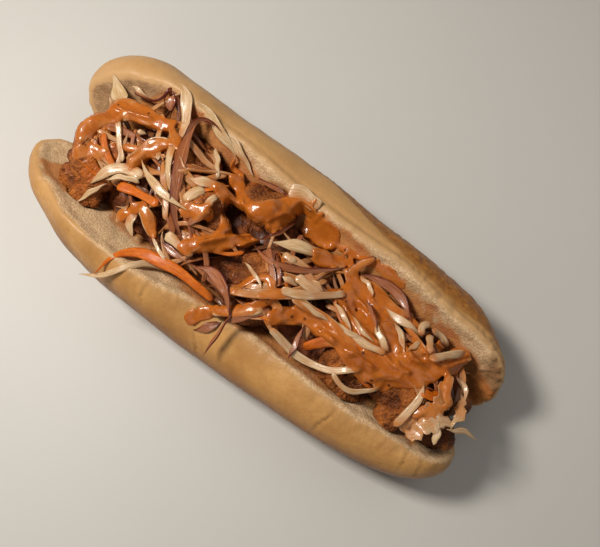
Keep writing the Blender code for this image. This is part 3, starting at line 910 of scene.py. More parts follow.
# The strips that stand out, lowest first: kind, the points that the camera sees it run through (in a
# picture 600 wide and 547 high), width in mm, roll in degrees, ends.
# Ends: "cut" is blunt, "tip" is pointed at its first end, "tips" at both.
heroStrips = [
    ("cabbage", ((86, 281), (100, 279), (115, 271), (135, 266), (150, 265), (168, 268)), 3.2, 10, "tip"),
    ("carrot", ((94, 274), (106, 261), (126, 254), (147, 257), (163, 264), (180, 273), (200, 290),
     (214, 300)), 5.4, 6, "tip"),
    ("cabbage", ((77, 203), (90, 192), (107, 183)), 2.6, 20, "tips"),
    ("carrot", ((118, 187), (137, 193), (159, 207)), 4.6, 0, "cut"),
    ("carrot", ((303, 351), (320, 343), (347, 343), (358, 348)), 4.8, 10, "cut"),
    ("carrot", ((336, 332), (350, 341), (366, 352)), 3.6, 10, "cut"),
    ("onion", ((268, 248), (272, 267), (274, 288)), 3.6, 30, "cut"),
    ("onion", ((276, 252), (279, 268), (280, 286)), 2.6, 40, "cut"),
    ("rib", ((283, 254), (296, 263)), 3.6, 0, "cut"),
    ("rib", ((282, 276), (298, 286)), 3.4, 0, "tips"),
    ("cabbage", ((270, 328), (283, 343), (297, 358), (313, 368), (338, 372), (360, 370)), 3.7, 15, "cut"),
    ("onion", ((304, 325), (298, 342), (288, 360)), 3.6, 25, "tips"),
    ("cabbage", ((333, 372), (338, 387), (353, 393), (370, 392), (383, 384)), 2.5, 30, "cut"),
    ("carrot", ((258, 317), (272, 319), (288, 322)), 3.4, 0, "tip"),
    ("leaf", ((195, 100), (208, 110), (218, 130), (228, 143), (236, 157), (233, 168)), 5.6, 40, "tips"),
    ("leaf", ((225, 128), (242, 157), (254, 176)), 4.4, 40, "tips"),
    ("onion", ((258, 177), (273, 187), (291, 198)), 2.8, 45, "tips"),
    ("cabbage", ((131, 84), (140, 92), (151, 101)), 2.6, 20, "tips"),
    ("onion", ((171, 87), (164, 98), (156, 105), (147, 101), (135, 94)), 2.6, 60, "cut"),
    ("onion", ((178, 125), (181, 108), (177, 96), (169, 89), (164, 100), (166, 112)), 3.0, 50, "tips"),
    ("onion", ((174, 96), (172, 108), (173, 120)), 4.6, 5, "cut"),
    ("leaf", ((180, 82), (187, 98), (189, 118), (182, 138)), 6.0, 15, "tip"),
    ("cabbage", ((116, 106), (118, 124), (120, 142), (122, 162)), 3.4, 0, "cut"),
    ("leaf", ((114, 73), (117, 86), (122, 99), (126, 112)), 9.0, 4, "spike"),
    ("rib", ((136, 131), (148, 137)), 2.8, 0, "tips"),
    ("rib", ((114, 106), (132, 111), (150, 118), (168, 125)), 5.0, 5, "cut"),
    ("rib", ((122, 118), (140, 122), (156, 128)), 5.0, 0, "cut"),
    ("rib", ((128, 104), (144, 110), (160, 118)), 4.6, 0, "cut"),
    ("cabbage", ((126, 148), (138, 149), (150, 150)), 3.6, 10, "cut"),
    ("rib", ((91, 183), (107, 172), (127, 168), (143, 178)), 6.4, 0, "tip"),
    ("cabbage", ((106, 180), (122, 176), (140, 183)), 3.0, 20, "tip"),
    ("cabbage", ((172, 128), (175, 143), (170, 158), (167, 175), (171, 191), (176, 187)), 3.6, 15, "cut"),
    ("cabbage", ((162, 115), (166, 127), (163, 143), (158, 160)), 3.0, 20, "cut"),
    ("leaf", ((128, 164), (143, 157), (153, 144), (169, 142)), 5.4, 20, "cut"),
    ("onion", ((184, 243), (177, 228), (173, 208), (176, 183), (181, 158), (188, 137), (199, 123),
     (213, 125)), 5.8, 14, "tips"),
    ("onion", ((182, 140), (190, 126), (201, 119), (214, 122), (222, 132)), 2.6, 55, "tips"),
    ("leaf", ((138, 211), (132, 226), (134, 241)), 5.0, 20, "tips"),
    ("cabbage", ((128, 203), (123, 217), (119, 227)), 3.4, 20, "cut"),
    ("leaf", ((142, 208), (151, 223), (154, 238)), 6.2, 10, "cut"),
    ("cabbage", ((150, 234), (158, 248), (166, 262)), 2.2, 10, "tip"),
    ("onion", ((160, 241), (173, 252), (188, 263)), 3.6, 10, "tips"),
    ("rib", ((167, 236), (180, 247), (193, 256)), 4.8, 10, "cut"),
    ("cabbage", ((215, 149), (219, 163), (217, 179)), 2.4, 20, "cut"),
    ("rib", ((184, 201), (195, 193), (206, 191)), 5.6, 0, "cut"),
    ("rib", ((206, 208), (212, 199), (218, 196)), 4.0, 0, "cut"),
    ("cabbage", ((189, 178), (203, 183), (220, 187)), 4.8, 10, "tip"),
    ("onion", ((187, 224), (200, 218), (212, 212)), 3.6, 30, "cut"),
    ("onion", ((193, 330), (210, 328), (226, 317)), 4.2, 10, "tips"),
    ("onion", ((229, 324), (247, 317), (271, 310)), 3.0, 20, "cut"),
    ("rib", ((213, 312), (237, 314), (264, 310)), 4.2, 0, "cut"),
    ("rib", ((272, 242), (293, 245), (313, 253), (331, 258)), 6.2, 0, "tip"),
    ("rib", ((296, 276), (309, 287), (323, 294)), 5.0, 0, "cut"),
    ("cabbage", ((311, 279), (324, 292)), 2.8, 20, "tips"),
    ("cabbage", ((293, 295), (308, 310), (326, 321), (347, 336)), 4.2, 15, "cut"),
    ("leaf", ((288, 193), (304, 195), (319, 209)), 8.0, 15, "cut"),
    ("onion", ((347, 274), (360, 267), (376, 257)), 4.0, 20, "cut"),
    ("carrot", ((421, 390), (431, 399), (441, 393)), 5.0, -20, "cut"),
    ("frill", ((398, 430), (414, 418), (431, 410), (448, 403)), 7.5, 12, "cut"),
    ("frill", ((406, 438), (420, 428), (436, 424), (449, 421)), 7.0, -12, "cut"),
    ("frill", ((432, 412), (440, 400), (444, 386), (447, 374)), 6.0, 25, "tips"),
    ("cabbage", ((438, 421), (437, 434), (427, 446)), 3.2, 15, "tip"),
    ("cabbage", ((446, 430), (458, 433), (468, 442)), 2.6, 10, "tips"),
    ("frill", ((462, 392), (460, 406), (455, 418), (449, 430)), 4.8, 20, "tips"),
    ("cabbage", ((456, 376), (465, 388), (466, 402)), 2.8, 20, "tips"),
    ("cabbage", ((450, 376), (446, 390), (449, 408)), 3.8, 10, "cut"),
]
# The strips that lie on the dressing, written in the same way.
overStrips = [
    ("cabbage", ((142, 159), (147, 177), (162, 193), (178, 205), (189, 212)), 4.2, 10, "tips"),
    ("onion", ((255, 249), (268, 263), (288, 269), (314, 272), (348, 267)), 3.8, 20, "tips"),
    ("cabbage", ((280, 290), (300, 295), (322, 298), (346, 293)), 4.0, 10, "cut"),
    ("cabbage", ((360, 276), (370, 285), (373, 297)), 2.2, 20, "cut"),
    ("onion", ((362, 272), (380, 280), (397, 293), (408, 310), (413, 322)), 5.2, 25, "tips"),
    ("cabbage", ((375, 322), (380, 338), (388, 352)), 3.4, 20, "tip"),
    ("cabbage", ((384, 306), (393, 315), (406, 324), (423, 338)), 3.8, 10, "tips"),
    ("rib", ((346, 330), (358, 340), (370, 347), (386, 354)), 3.8, 0, "tip"),
    ("rib", ((421, 336), (421, 326), (431, 325)), 3.6, 0, "cut"),
    ("rib", ((432, 329), (442, 337), (448, 348)), 3.6, 0, "cut"),
    ("rib", ((428, 336), (430, 354)), 3.4, 0, "cut"),
    ("rib", ((429, 359), (447, 357), (464, 353)), 4.0, 0, "cut"),
    ("cabbage", ((407, 351), (422, 341)), 2.6, 0, "tip"),
    ("onion", ((195, 266), (210, 270), (222, 283), (228, 300), (230, 318)), 5.6, 25, "tips"),
    ("onion", ((232, 312), (226, 325), (217, 340), (205, 359)), 2.4, 40, "tips"),
    ("cabbage", ((424, 384), (418, 402), (406, 415), (392, 426)), 4.0, 10, "tip"),
    ("onion", ((258, 242), (278, 236), (297, 225)), 2.4, 50, "tips"),
    ("cabbage", ((333, 300), (345, 316), (352, 334)), 2.6, 20, "tips"),
    ("cabbage", ((395, 322), (402, 338), (404, 352)), 3.0, 10, "tips"),
    ("cabbage", ((300, 300), (314, 312), (331, 322)), 2.6, 20, "tips"),
    ("cabbage", ((352, 316), (362, 331), (374, 343)), 2.2, 20, "tips"),
    ("onion", ((366, 300), (374, 316), (378, 332)), 2.6, 30, "tips"),
    ("cabbage", ((336, 322), (350, 334), (366, 341)), 2.8, 10, "tips"),
    ("cabbage", ((244, 262), (256, 274), (262, 290)), 2.2, 20, "tips"),
]
# Where the heap is open and dark, as the camera sees it: the middle, and the radius in mm.
hollows = [
    ((308, 357), 4.4), ((323, 358), 3.6), ((232, 272), 6.0), ((248, 270), 5.0), ((262, 192), 6.0),
    ((276, 203), 4.0), ((217, 209), 4.2), ((317, 225), 2.4), ((226, 158), 4.0), ((390, 396), 5.0),
    ((160, 222), 3.0), ((213, 222), 3.0), ((265, 236), 2.4), ((302, 232), 2.0), ((163, 148), 3.0),
]
fillStrips = {
    "count": 175,
    "kinds": (
        "cabbage", "rib", "cabbage", "onion", "cabbage", "carrot", "cabbage", "leaf", "cabbage", "onion",
    ),
    "seed": 12,
    "x": (-90, 104),
    "ends": (-97, 107),  # no end of a strip lies past these x
    "turn": (-75, 75),
    "length": (18, 46),
    "bend": (-80, 80),
    "width": (1.7, 3.6),
    "roll": (-32, 32),
}
# step along a strip, points round it, how steeply it may drop, rounds of settling, lowest height looked at
strip = {"step": 1.1, "around": 10, "droop": 0.55, "settle": 40, "lowest": 24}


def stripRoute(x, y, heading, length, bend):
    steps = max(8, int(round(length / strip["step"])))
    angles = np.radians(heading + bend * np.linspace(-0.5, 0.5, steps))
    moves = np.column_stack((np.cos(angles), np.sin(angles))) * length / steps
    route = np.vstack(((0, 0), np.cumsum(moves, axis=0)))
    return route - route[steps // 2] + np.array((x, y))


def seenSpot(seen, surface):
    # the x and y of the point on the food that the camera sees at a point of the picture
    forward, up, right, place = (np.array(view[part]) for part in ("forward", "up", "right", "place"))
    sight = forward * view["lens"] / view["sensor"] * view["wide"]
    sight = sight + right * (seen[0] - view["wide"] / 2) + up * (view["high"] / 2 - seen[1])
    sight = sight / -sight[2]
    height = 45.0
    for turn in range(7):
        spot = place + sight * (place[2] - height)
        i, j = (int(round((value - low) / pile["cell"])) for value, low in zip(spot, pile["low"]))
        height = (height + max(surface[i, j], strip["lowest"])) / 2
    return spot[:2]


def seenRoute(path, surface):
    route = np.array([seenSpot(seen, surface) for seen in path])
    for turn in range(3):
        middles = (route[1:] + route[:-1]) / 2
        quarter = (middles[:-1] + route[1:-1]) / 2
        after = (middles[1:] + route[1:-1]) / 2
        inner = np.stack((quarter, after), axis=1).reshape(-1, 2)
        route = np.vstack((route[:1], inner, route[-1:])) if len(inner) else route
    walked = np.concatenate(([0], np.cumsum(np.linalg.norm(np.diff(route, axis=0), axis=1))))
    stations = np.linspace(0, walked[-1], max(8, int(round(walked[-1] / strip["step"]))) + 1)
    return np.column_stack([np.interp(stations, walked, route[:, axis]) for axis in (0, 1)])


def restLine(route, half, rise, sink):
    # the lowest line that lies on the food, bridges its hollows and droops past its last support
    support = np.array([top[windowAt(x, y, r)].max() for (x, y), r in zip(route, half)]) + rise - sink
    apart = np.linalg.norm(route[:, None] - route[None], axis=2)
    line = (support[None] - strip["droop"] * apart).max(1)
    for turn in range(strip["settle"]):
        line[1:-1] = np.maximum((line[:-2] + line[2:]) / 2, support[1:-1] - 0.4)
    for turn in range(3):
        line[1:-1] = (line[:-2] + 2 * line[1:-1] + line[2:]) / 4
    return line


def layStrip(number, kind, route, width, roll, ends, shapes):
    form = kinds[kind]
    route = route.copy()
    steps = np.gradient(route, axis=0)
    length = np.linalg.norm(np.diff(route, axis=0), axis=1).sum()
    angles = np.arctan2(steps[:, 1], steps[:, 0])
    share = np.linspace(0, 1, len(route))
    draw = random.Random(number * 7 + 1)
    phase, beat = draw.uniform(0, 6.3), draw.uniform(1.2, 2.6)
    wander = form["wave"] * np.sin(share * beat * 6.3 + phase)
    route[:, 0] -= np.sin(angles) * wander
    route[:, 1] += np.cos(angles) * wander
    profile = np.ones(len(route))
    blunt = 1.6 / length
    profile *= np.clip(share / blunt, 0, 1) ** 0.4 if ends == "cut" else ease(share, -0.05, 0.45) ** 0.8
    if ends == "spike":
        profile = 0.05 + 1.2 * share
    far = 1 - share
    profile *= ease(far, -0.05, 0.45) ** 0.8 if ends == "tips" else np.clip(far / blunt, 0, 1) ** 0.4
    profile = np.clip(profile * (1 + 0.1 * np.sin(share * 9 + phase * 2)) * (1.06 - 0.3 * share), 0.04, None)
    tilt = np.radians(roll + draw.uniform(-48, 48) * min(1, 3.5 / width) * (share - 0.5) * 2)
    halfWidth, halfThick = width / 2 * profile, form["thickness"] / 2 * profile**0.5
    rise = np.abs(np.sin(tilt)) * halfWidth + np.cos(tilt) * halfThick
    half = np.abs(np.cos(tilt)) * halfWidth * 0.9
    line = restLine(route, half, rise * 0.6, form["sink"])
    for (px, py), r, height in zip(route, half, line + rise * 0.45):
        cells = windowAt(px, py, r * 0.8)
        top[cells] = np.maximum(top[cells], height)
    forward = np.column_stack((np.gradient(route, axis=0), np.gradient(line)))
    forward /= np.linalg.norm(forward, axis=1)[:, None]
    side = np.column_stack((-np.sin(angles), np.cos(angles), np.zeros(len(angles))))
    up = np.cross(forward, side)
    across = side * np.cos(tilt)[:, None] + up * np.sin(tilt)[:, None]
    over = np.cross(forward, across)
    corner = np.linspace(0, 2 * math.pi, strip["around"], endpoint=False)
    squareC = np.sign(np.cos(corner)) * np.abs(np.cos(corner)) ** 0.6
    squareS = np.sign(np.sin(corner)) * np.abs(np.sin(corner)) ** 0.6
    centre = np.column_stack((route, line))
    bow = form["cup"] * width * (squareC**2 - 0.4)
    if kind == "frill":
        ruffle = np.sin(share * length * 1.15 + phase) + 0.6 * np.sin(share * length * 2.1 + beat * 3)
        bow = bow + 0.8 * ruffle[:, None] * squareC * np.abs(squareC)
        halfWidth = halfWidth * (1 + 0.25 * np.sin(share * length * 1.7 + beat * 5))
    rings = (
        centre[:, None]
        + across[:, None] * (halfWidth[:, None] * squareC)[..., None]
        + over[:, None] * (halfThick[:, None] * squareS + bow * profile[:, None])[..., None]
    )
    shape = tubeShape(rings * mm)
    edge = halfWidth[:, None] * (1 - squareC)
    # the last two values are those of the middle points that close the ends
    shape["marks"]["along"] = np.concatenate((np.repeat(share * length, strip["around"]), [0.0, length]))
    shape["marks"]["across"] = np.concatenate((np.tile(squareC, len(route)), [0.0, 0.0]))
    shape["marks"]["edge"] = np.concatenate((edge.ravel(), [1.0, 1.0]))
    shape["marks"]["own"] = np.full(len(shape["points"]), draw.random())
    shape["layer"] = number // 1000
    shape["soak"] = form.get("soak", 0.0)
    family = "cabbage" if kind in ("rib", "leaf", "frill") else kind
    shapes[family].append(shape)
    spines.append({"line": centre, "across": across, "over": over, "half": halfWidth, "thick": halfThick})


spines = []


def inHollow(points):
    # 1 where a point lies in one of the open places, which get painted shade on the fried pieces
    apart = [np.linalg.norm(points[:, :2] / mm - spot, axis=1) / radius for spot, radius in openSpots]
    return 1 - ease(np.min(apart, axis=0), 0.7, 1.3)


def fillRows():
    # strips laid by rule inside the heap, clear of the hollows
    rule = fillStrips
    draw = random.Random(rule["seed"])
    made = tries = 0
    while made < rule["count"] and tries < 9000:
        tries += 1
        x = draw.uniform(*rule["x"])
        low, high = heapLimits(x)
        y = draw.uniform(low + 4, high - 4)
        drawn = ("turn", "length", "bend", "width", "roll")
        heading, length, bend, width, roll = (draw.uniform(*rule[key]) for key in drawn)
        kind = rule["kinds"][made % len(rule["kinds"])]
        if kind == "leaf":
            width *= 1.6
        if kind == "rib":
            length *= 0.75
        route = stripRoute(x, y, heading, length, bend)
        lowAll, highAll = heapLimits(route[:, 0])
        left, right = rule["ends"]
        inside = (route[:, 1] > lowAll + 0.5) & (route[:, 1] < highAll + 1)
        inside &= (route[:, 0] > left) & (route[:, 0] < right)
        gaps = [np.linalg.norm(route - spot, axis=1).min() - radius for spot, radius in openSpots]
        if inside.all() and min(gaps) > width / 2:
            ends = draw.choice(("cut", "tip", "tips", "cut"))
            made += 1
            yield kind, route, width, roll, ends


def laySeen(rows, layer, shapes):
    for number, (kind, path, width, roll, ends) in enumerate(rows):
        surface = blur(spreadMax(top, 2), 4)
        layStrip(1000 * layer + number, kind, seenRoute(path, surface), width, roll, ends, shapes)


def dressingMark(points):
    # how much dressing lies on or beside a point, from the pours
    return pourReach(points[:, :2] / mm) + 1.6 * softNoise(points, 6, 71) + 0.8 * softNoise(points, 2.5, 72)


def pourReach(spot):
    # how far inside the nearest pour each point lies, in mm
    return np.max([pourReachOne(spot, *pour[:2]) for pour in laidPours], axis=0)


def howDeep(points):
    # how far below the top of the heap each point lies, in mm
    crest = blur(spreadMax(top, 7), 5)
    return crest[cellsOf(points)] - points[:, 2] / mm


def cellsOf(points):
    cells = ((points[:, :2] / mm - pile["low"]) / pile["cell"]).astype(int)
    return tuple(np.clip(cells, 0, np.array(pile["size"]) - 1).T)


def stainStrips(shapes):
    for family in shapes.values():
        for shape in family:
            points = shape["points"]
            mark = dressingMark(points)
            cloud = softNoise(points, 14, 73) + 0.6 * softNoise(points, 5, 74)
            deep = ease(howDeep(points), 2.5, 9)
            if shape["layer"] == 2:
                along = shape["marks"]["along"]
                toEnd = np.minimum(along, along.max() - along) + 1.5 * softNoise(points, 3, 75)
                wet = 0.2 + 0.8 * (1 - ease(toEnd, 0.6, 3.2)) + 0.55 * ease(cloud, -0.1, 0.5)
            elif shape["layer"]:
                wet = 0.1 + 0.9 * ease(mark, -2.4, 0.4) + 0.45 * ease(cloud, -0.1, 0.6) + 0.5 * deep
            else:
                wet = 0.95 * ease(mark, -1.8, 0.6) + 0.6 + 0.4 * ease(cloud, -0.5, 0.3) + 0.5 * deep
            shape["marks"]["stain"] = np.clip(wet + shape["soak"], 0, 1)
            # painted shade: how far the strip lies below the top of the heap
            shape["marks"]["deep"] = deep


# fibres: how often they change along and across the shred, noise size and detail, darkest and lightest
# tint: the mark it follows, where it starts and ends, its share at both, and its colour
# dressed: the least share of dressing, how much more in the patches, and its two colours
# patch: size and contrast. rough: least and most. relief: height in mm and strength
shredLooks = {
    "cabbage": {
        "shader": {
            "Subsurface Weight": 0.2,
            "Subsurface Scale": 0.004,
            "Subsurface Radius": (1.0, 0.85, 0.5),
            "Specular IOR Level": 0.35,
            "Coat Weight": 0.3,
            "Coat Roughness": 0.12,
        },
        "fibres": (0.12, 2.2, 1.6, 3.0, 0.35, 0.68),
        "flesh": ((0.55, 0.345, 0.165), (0.75, 0.54, 0.335)),
        "tint": ("own", 0.6, 1.0, 0.0, 0.3, (0.54, 0.38, 0.16)),
        "dressed": (0.65, 0.35, (0.42, 0.11, 0.014), (0.55, 0.19, 0.035)),
        "patch": (260.0, 0.22),
        "rough": (0.28, 0.15),
        "relief": (0.12, 0.6),
    },
    "onion": {
        "shader": {
            "Subsurface Weight": 0.12,
            "Subsurface Scale": 0.003,
            "Specular IOR Level": 0.3,
            "Coat Weight": 0.25,
            "Coat Roughness": 0.1,
        },
        "fibres": (0.08, 3.0, 1.8, 3.0, 0.35, 0.68),
        "flesh": ((0.26, 0.075, 0.028), (0.41, 0.155, 0.068)),
        "tint": ("edge", 0.3, 0.75, 1.0, 0.0, (0.085, 0.007, 0.005)),
        "dressed": (0.0, 0.55, (0.48, 0.15, 0.03), (0.48, 0.15, 0.03)),
        "patch": (240.0, 0.2),
        "rough": (0.24, 0.15),
        "relief": (0.1, 0.6),
    },
    "carrot": {
        "shader": {
            "Subsurface Weight": 0.1,
            "Subsurface Scale": 0.003,
            "Specular IOR Level": 0.25,
            "Coat Weight": 0.12,
            "Coat Roughness": 0.15,
        },
        "fibres": (0.15, 2.0, 2.4, 4.0, 0.3, 0.7),
        "flesh": ((0.52, 0.09, 0.002), (0.72, 0.17, 0.005)),
        "dressed": (0.0, 0.5, (0.52, 0.17, 0.035), (0.52, 0.17, 0.035)),
        "patch": (260.0, 0.22),
        "rough": (0.32, 0.2),
        "relief": (0.25, 0.7),
    },
}


def shredMaterial(family):
    look = shredLooks[family]
    material, shader, where = newMaterial(family, look["shader"])
    along, across, own, stain = readMarks(where, "along", "across", "own", "stain")
    alongRate, acrossRate, size, detail, darkest, lightest = look["fibres"]
    rates = {"X": times(along, alongRate), "Y": times(across, acrossRate), "Z": times(own, 40.0)}
    flow = addNode(where.id_data, "ShaderNodeCombineXYZ", rates).outputs[0]
    fibres = stretch(noiseAt(flow, size, detail)["Fac"], darkest, lightest)
    colour = mixColour(fibres, *look["flesh"])
    if "tint" in look:
        mark, *limits, tint = look["tint"]
        colour = mixColour(stretch(*readMarks(where, mark), *limits), colour, tint)
    patchSize, contrast = look["patch"]
    cloud = useGroup(mottle, where, Size=patchSize, Contrast=contrast)
    least, more, *dressed = look["dressed"]
    share = times(stain, plus(least, times(cloud, more)))
    colour = mixColour(share, colour, mixColour(cloud, *dressed))
    smooth, coarse = look["rough"]
    finishLook(shader, paintDeepShade(colour), plus(smooth, times(fibres, coarse)), fibres, *look["relief"])
    return material


# The thick dressing, poured over the heap

# Each pour: the points that the camera sees it run through, its half width and its thickness in mm.
pours = [
    (((82, 134), (90, 124), (104, 118)), 4.4, 1.0),
    (((76, 152), (88, 148), (100, 152)), 3.2, 0.5),
    (((94, 120), (104, 115), (114, 116)), 4.2, 1.2),
    (((114, 107), (124, 109), (136, 112), (148, 117), (160, 122), (170, 124)), 3.7, 1.7),
    (((170, 125), (177, 136), (177, 148)), 2.0, 1.0),
    (((127, 147), (148, 150)), 2.2, 0.9),
    (((133, 163), (147, 153), (167, 143)), 2.4, 1.0),
    (((123, 218), (132, 208), (144, 203), (150, 218), (153, 234)), 2.4, 0.8),
    (((143, 162), (147, 174), (156, 186)), 1.2, 0.5),
    (((236, 167), (237, 183), (246, 205), (257, 225)), 3.2, 1.7),
    (((219, 187), (229, 200), (231, 217), (226, 232), (213, 242)), 3.8, 1.7),
    (((187, 210), (205, 210)), 3.3, 1.2),
    (((186, 246), (213, 242), (235, 238), (260, 231), (285, 222), (297, 222)), 3.6, 1.8),
    (((266, 213), (288, 206), (303, 217), (314, 232), (330, 238)), 5.2, 1.9),
    (((321, 256), (333, 260)), 4.4, 1.4),
    (((333, 262), (352, 262)), 1.8, 0.8),
    (((340, 245), (360, 256), (388, 271), (402, 285)), 2.0, 0.4),
    (((348, 270), (362, 264), (378, 260)), 1.7, 0.7),
    (((233, 289), (243, 284), (253, 279), (268, 278), (272, 288), (262, 301)), 1.7, 1.3),
    (((193, 316), (206, 312)), 3.8, 1.2),
    (((206, 311), (230, 308), (258, 304), (273, 296), (287, 291)), 2.2, 1.2),
    (((274, 318), (295, 311), (313, 319), (335, 337), (355, 358), (372, 374), (387, 382)), 3.6, 1.9),
    (((357, 276), (357, 290)), 2.2, 1.2),
    (((350, 296), (362, 290), (374, 302), (370, 322), (360, 328)), 6.0, 1.7),
    (((385, 300), (400, 311), (414, 326), (419, 341)), 2.8, 0.9),
    (((386, 315), (392, 335), (400, 352), (410, 365)), 4.2, 1.4),
    (((374, 352), (386, 368), (401, 377), (418, 376), (432, 368)), 5.0, 1.9),
    (((432, 366), (452, 364), (462, 356)), 4.6, 1.8),
    (((420, 346), (432, 352), (440, 345)), 2.6, 0.8),
    (((450, 372), (447, 392), (450, 404)), 1.5, 0.7),
    (((416, 412), (430, 407), (446, 407)), 1.8, 0.4),
    # ridges where the dressing runs along a strand
    (((340, 300), (352, 318), (366, 333), (378, 345)), 1.4, 7.5),
    (((356, 296), (368, 312), (380, 330), (386, 344)), 1.3, 7.5),
    (((372, 300), (386, 318), (396, 336), (398, 352)), 1.3, 7.5),
    (((318, 330), (336, 344), (356, 356), (376, 370)), 1.7, 8.0),
    (((380, 352), (392, 366), (408, 374)), 1.5, 7.5),
    (((404, 345), (412, 360), (428, 368)), 1.4, 7.5),
    (((345, 352), (362, 366), (380, 378)), 1.2, 7.0),
    (((346, 300), (344, 316), (348, 330)), 1.1, 7.0),
    (((396, 362), (400, 374), (398, 386)), 1.2, 7.0),
    (((424, 352), (434, 362), (448, 368)), 1.3, 7.5),
    (((240, 196), (246, 212), (258, 226), (272, 236)), 1.4, 7.5),
    (((200, 244), (220, 240), (245, 236), (268, 230)), 1.6, 8.0),
    (((220, 250), (242, 246), (262, 238)), 1.1, 7.0),
    (((268, 222), (284, 214), (300, 222)), 1.3, 7.5),
    (((296, 232), (310, 226), (322, 214)), 1.2, 7.0),
    (((116, 108), (134, 114), (152, 120)), 1.2, 7.0),
]
dressing = {
    "widen": 1.05,
    "voxel": 0.54,
    "rounds": 4,  # of smoothing
    "coatSwell": 0.36,  # how thick it coats the shreds, and how far below the crest it still does
    "coatHeight": 5.5,
    "bridge": 5,  # cells of the map that it spans
    "softness": 1,
    "under": 1.3,  # how far it reaches down, and its greatest thickness
    "sheet": 3.5,
    "hanging": 7.5,  # it breaks where the crest beside it is this much higher
    "thickness": 0.6,
}


def slabShape(inside, upper, lower):
    # a closed slab over the cells that are inside
    index = np.full(inside.shape, -1)
    index[inside] = np.arange(inside.sum())
    count = inside.sum()
    i, j = np.nonzero(inside)
    x = pile["low"][0] + i * pile["cell"]
    y = pile["low"][1] + j * pile["cell"]
    points = np.vstack((np.column_stack((x, y, upper[inside])), np.column_stack((x, y, lower[inside])))) * mm
    square = inside[:-1, :-1] & inside[1:, :-1] & inside[:-1, 1:] & inside[1:, 1:]
    corners = (index[:-1, :-1], index[1:, :-1], index[1:, 1:], index[:-1, 1:])
    sheet = [corner[square] for corner in corners]
    quads = [np.column_stack(sheet), np.column_stack(sheet[::-1]) + count]
    padded = np.pad(square, 1)
    here = padded[1:-1, 1:-1]
    for di, dj, first, second in ((-1, 0, 3, 0), (1, 0, 1, 2), (0, -1, 0, 1), (0, 1, 2, 3)):
        outer = here & ~padded[1 + di : padded.shape[0] - 1 + di, 1 + dj : padded.shape[1] - 1 + dj]
        start, stop = corners[first][outer], corners[second][outer]
        quads.append(np.column_stack((stop, start, start + count, stop + count)))
    return {"points": points, "quads": np.vstack(quads), "tris": np.zeros((0, 3), dtype=int), "marks": {}}


def makeDressing():
    size = pile["size"]
    i, j = np.meshgrid(np.arange(size[0]), np.arange(size[1]), indexing="ij")
    spot = np.array(pile["low"]) + np.column_stack((i.ravel(), j.ravel())) * pile["cell"]
    flat = np.column_stack((spot, np.zeros(len(spot)))) * mm
    edge = 1.3 * softNoise(flat, 9, 81) + 0.5 * softNoise(flat, 4, 82)
    reach = (pourReach(spot) + edge).reshape(size)
    thick = np.zeros(size)
    for nodes, half, depth in laidPours:
        own = (pourReachOne(spot, nodes, half) + edge).reshape(size)
        thick = np.maximum(thick, dressing["thickness"] * depth * np.sqrt(ease(own, 0, 3.2)))
    closed = -spreadMax(-spreadMax(top, dressing["bridge"]), dressing["bridge"])
    drape = blur(np.maximum(blur(closed, dressing["softness"]), blur(top, 1)), 2)
    crest = blur(spreadMax(top, 6), 4)
    hanging = crest - closed
    inside = (reach > 0.2) & (hanging < dressing["hanging"])
    inside[:, :2] = inside[:, -2:] = False
    thick = blur(thick, 1)
    ripple = 0.35 * softNoise(flat, 6, 83).reshape(size)
    lower = np.maximum(blur(top, 2) - dressing["under"], drape - dressing["sheet"])
    upper = drape + thick * (1 + ripple)
    slab = slabShape(inside, upper, lower)
    piece = meshFrom("dressing", [slab] + coatedStrips())
    dry = top.copy()
    top[inside] = np.maximum(top, upper)[inside]
    remesh(piece, dressing["voxel"])
    points = smoothPoints(piece.data, pointsOf(piece.data), dressing["rounds"])
    movePoints(piece.data, points)
    over = points[:, 2] / mm - blur(dry, 1)[cellsOf(points)]
    setMark(piece.data, "thin", 1 - ease(over + 0.5 * softNoise(points, 5, 85), -0.2, 0.9))
    return piece


def pourReachOne(spot, nodes, half):
    best = np.full(len(spot), -60.0)
    for start, stop in zip(nodes, nodes[1:]):
        span = stop - start
        share = np.clip(((spot - start) @ span) / (span @ span), 0, 1)
        apart = np.linalg.norm(spot - start - share[:, None] * span, axis=1)
        best = np.maximum(best, half * dressing["widen"] - apart)
    return best


def coatedStrips():
    # swollen copies of the strips where a pour covers them, near the top of the heap
    shapes = []
    crest = blur(spreadMax(top, 6), 4)
    for spine in spines:
        line = spine["line"]
        cells = [windowAt(x, y, 0.5) for x, y in line[:, :2]]
        high = np.array([crest[cell].max() for cell in cells])
        reach = pourReach(line[:, :2]) + 1.2 * softNoise(line * mm, 5, 84)
        wet = (reach > -0.8) & (high - line[:, 2] < dressing["coatHeight"])
        edges = np.flatnonzero(np.diff(np.concatenate(([0], wet.astype(int), [0]))))
        for start, stop in zip(edges[::2], edges[1::2]):
            if stop - start < 4:
                continue
            part = slice(start, stop)
            share = np.linspace(0, 1, stop - start)
            rounded = np.sqrt(np.clip(1 - (2 * share - 1) ** 6, 0.02, 1))[:, None]
            corner = np.linspace(0, 2 * math.pi, 10, endpoint=False)
            swell = dressing["coatSwell"]
            wide = (spine["half"][part] + swell)[:, None] * np.cos(corner) * rounded
            tall = (spine["thick"][part] + swell)[:, None] * np.sin(corner) * rounded
            rings = line[part][:, None] + spine["across"][part][:, None] * wide[..., None]
            rings = rings + spine["over"][part][:, None] * tall[..., None]
            shapes.append(tubeShape(rings * mm))
    return shapes


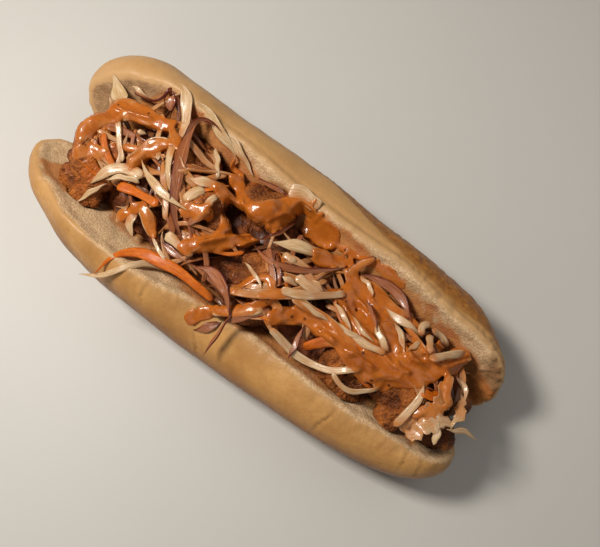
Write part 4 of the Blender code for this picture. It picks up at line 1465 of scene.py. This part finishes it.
dressingLook = {
    "shader": {
        "Subsurface Weight": 0.06,
        "Subsurface Scale": 0.003,
        "Subsurface Radius": (1.0, 0.45, 0.2),
        "Specular IOR Level": 0.25,
        "Coat Weight": 0.35,
        "Coat Roughness": 0.05,
    },
    "body": ((0.38, 0.088, 0.007), (0.51, 0.138, 0.014)),
    "grain": (0.15, (0.58, 0.19, 0.026)),
    "thin": (0.5, (0.58, 0.235, 0.07)),
    "redSpecks": (0.5, (0.42, 0.05, 0.006)),
    "darkSpecks": (0.8, (0.07, 0.015, 0.006)),
}


def dressingMaterial():
    look = dressingLook
    material, shader, where = newMaterial("thickDressing", look["shader"])
    cloud = useGroup(mottle, where, Size=110.0, Contrast=0.2)
    fine = useGroup(mottle, where, Size=900.0, Contrast=0.3)
    lumps = useGroup(mottle, where, Size=330.0, Contrast=0.4)
    red = useGroup(specks, where, Size=1300.0, Share=0.22)
    dark = useGroup(specks, where, Size=420.0, Share=0.045)
    thin, = readMarks(where, "thin")
    colour = cover(mixColour(cloud, *look["body"]), (fine, *look["grain"]), (thin, *look["thin"]))
    colour = cover(colour, (red, *look["redSpecks"]), (dark, *look["darkSpecks"]))
    height = plus(plus(times(fine, 0.22), times(red, 0.2)), lumps)
    finishLook(shader, colour, plus(0.2, times(fine, 0.14)), height, 0.22, 0.7)
    return material


# Put it together

addCamera()
addLamps()
addFloor()
print("camera, lamps and floor ready")

bread = makeRoll()
finishPiece(bread, rollMaterial(), "roll_crust", "roll")

fried = batterMaterial()
friedPieces = []
for number, name in enumerate(shrimp):
    piece = makeShrimp(number, name)
    finishPiece(piece, fried, "fried_batter", name)
    friedPieces.append(piece)

soaked = makeCore()
finishPiece(soaked, coreMaterial(), "dressed_slaw", "slaw")

raiseMap([bread, *friedPieces, soaked])
print("height map ready, highest", round(float(top.max()), 1), "mm")

stripShapes = {"cabbage": [], "onion": [], "carrot": []}
openSpots = [(seenSpot(seen, top), radius) for seen, radius in hollows]
for number, row in enumerate(fillRows()):
    layStrip(number, *row, stripShapes)
laySeen(heroStrips, 1, stripShapes)
crestNow = blur(spreadMax(top, 2), 4)
laidPours = [
    (np.array([seenSpot(seen, crestNow) for seen in path]), half, thick) for path, half, thick in pours
]
finishPiece(makeDressing(), dressingMaterial(), "dressed_slaw", "slaw")
laySeen(overStrips, 2, stripShapes)
stainStrips(stripShapes)
# painted shade on the fried pieces deep in the heap and in the hollows
for piece in friedPieces:
    points = pointsOf(piece.data)
    setMark(piece.data, "deep", np.maximum(ease(howDeep(points), 4, 11), 0.6 * inHollow(points)))
for family, shapes in stripShapes.items():
    finishPiece(meshFrom(family + "Shreds", shapes), shredMaterial(family), "dressed_slaw", "slaw")
print("strips laid, highest", round(float(top.max()), 1), "mm")
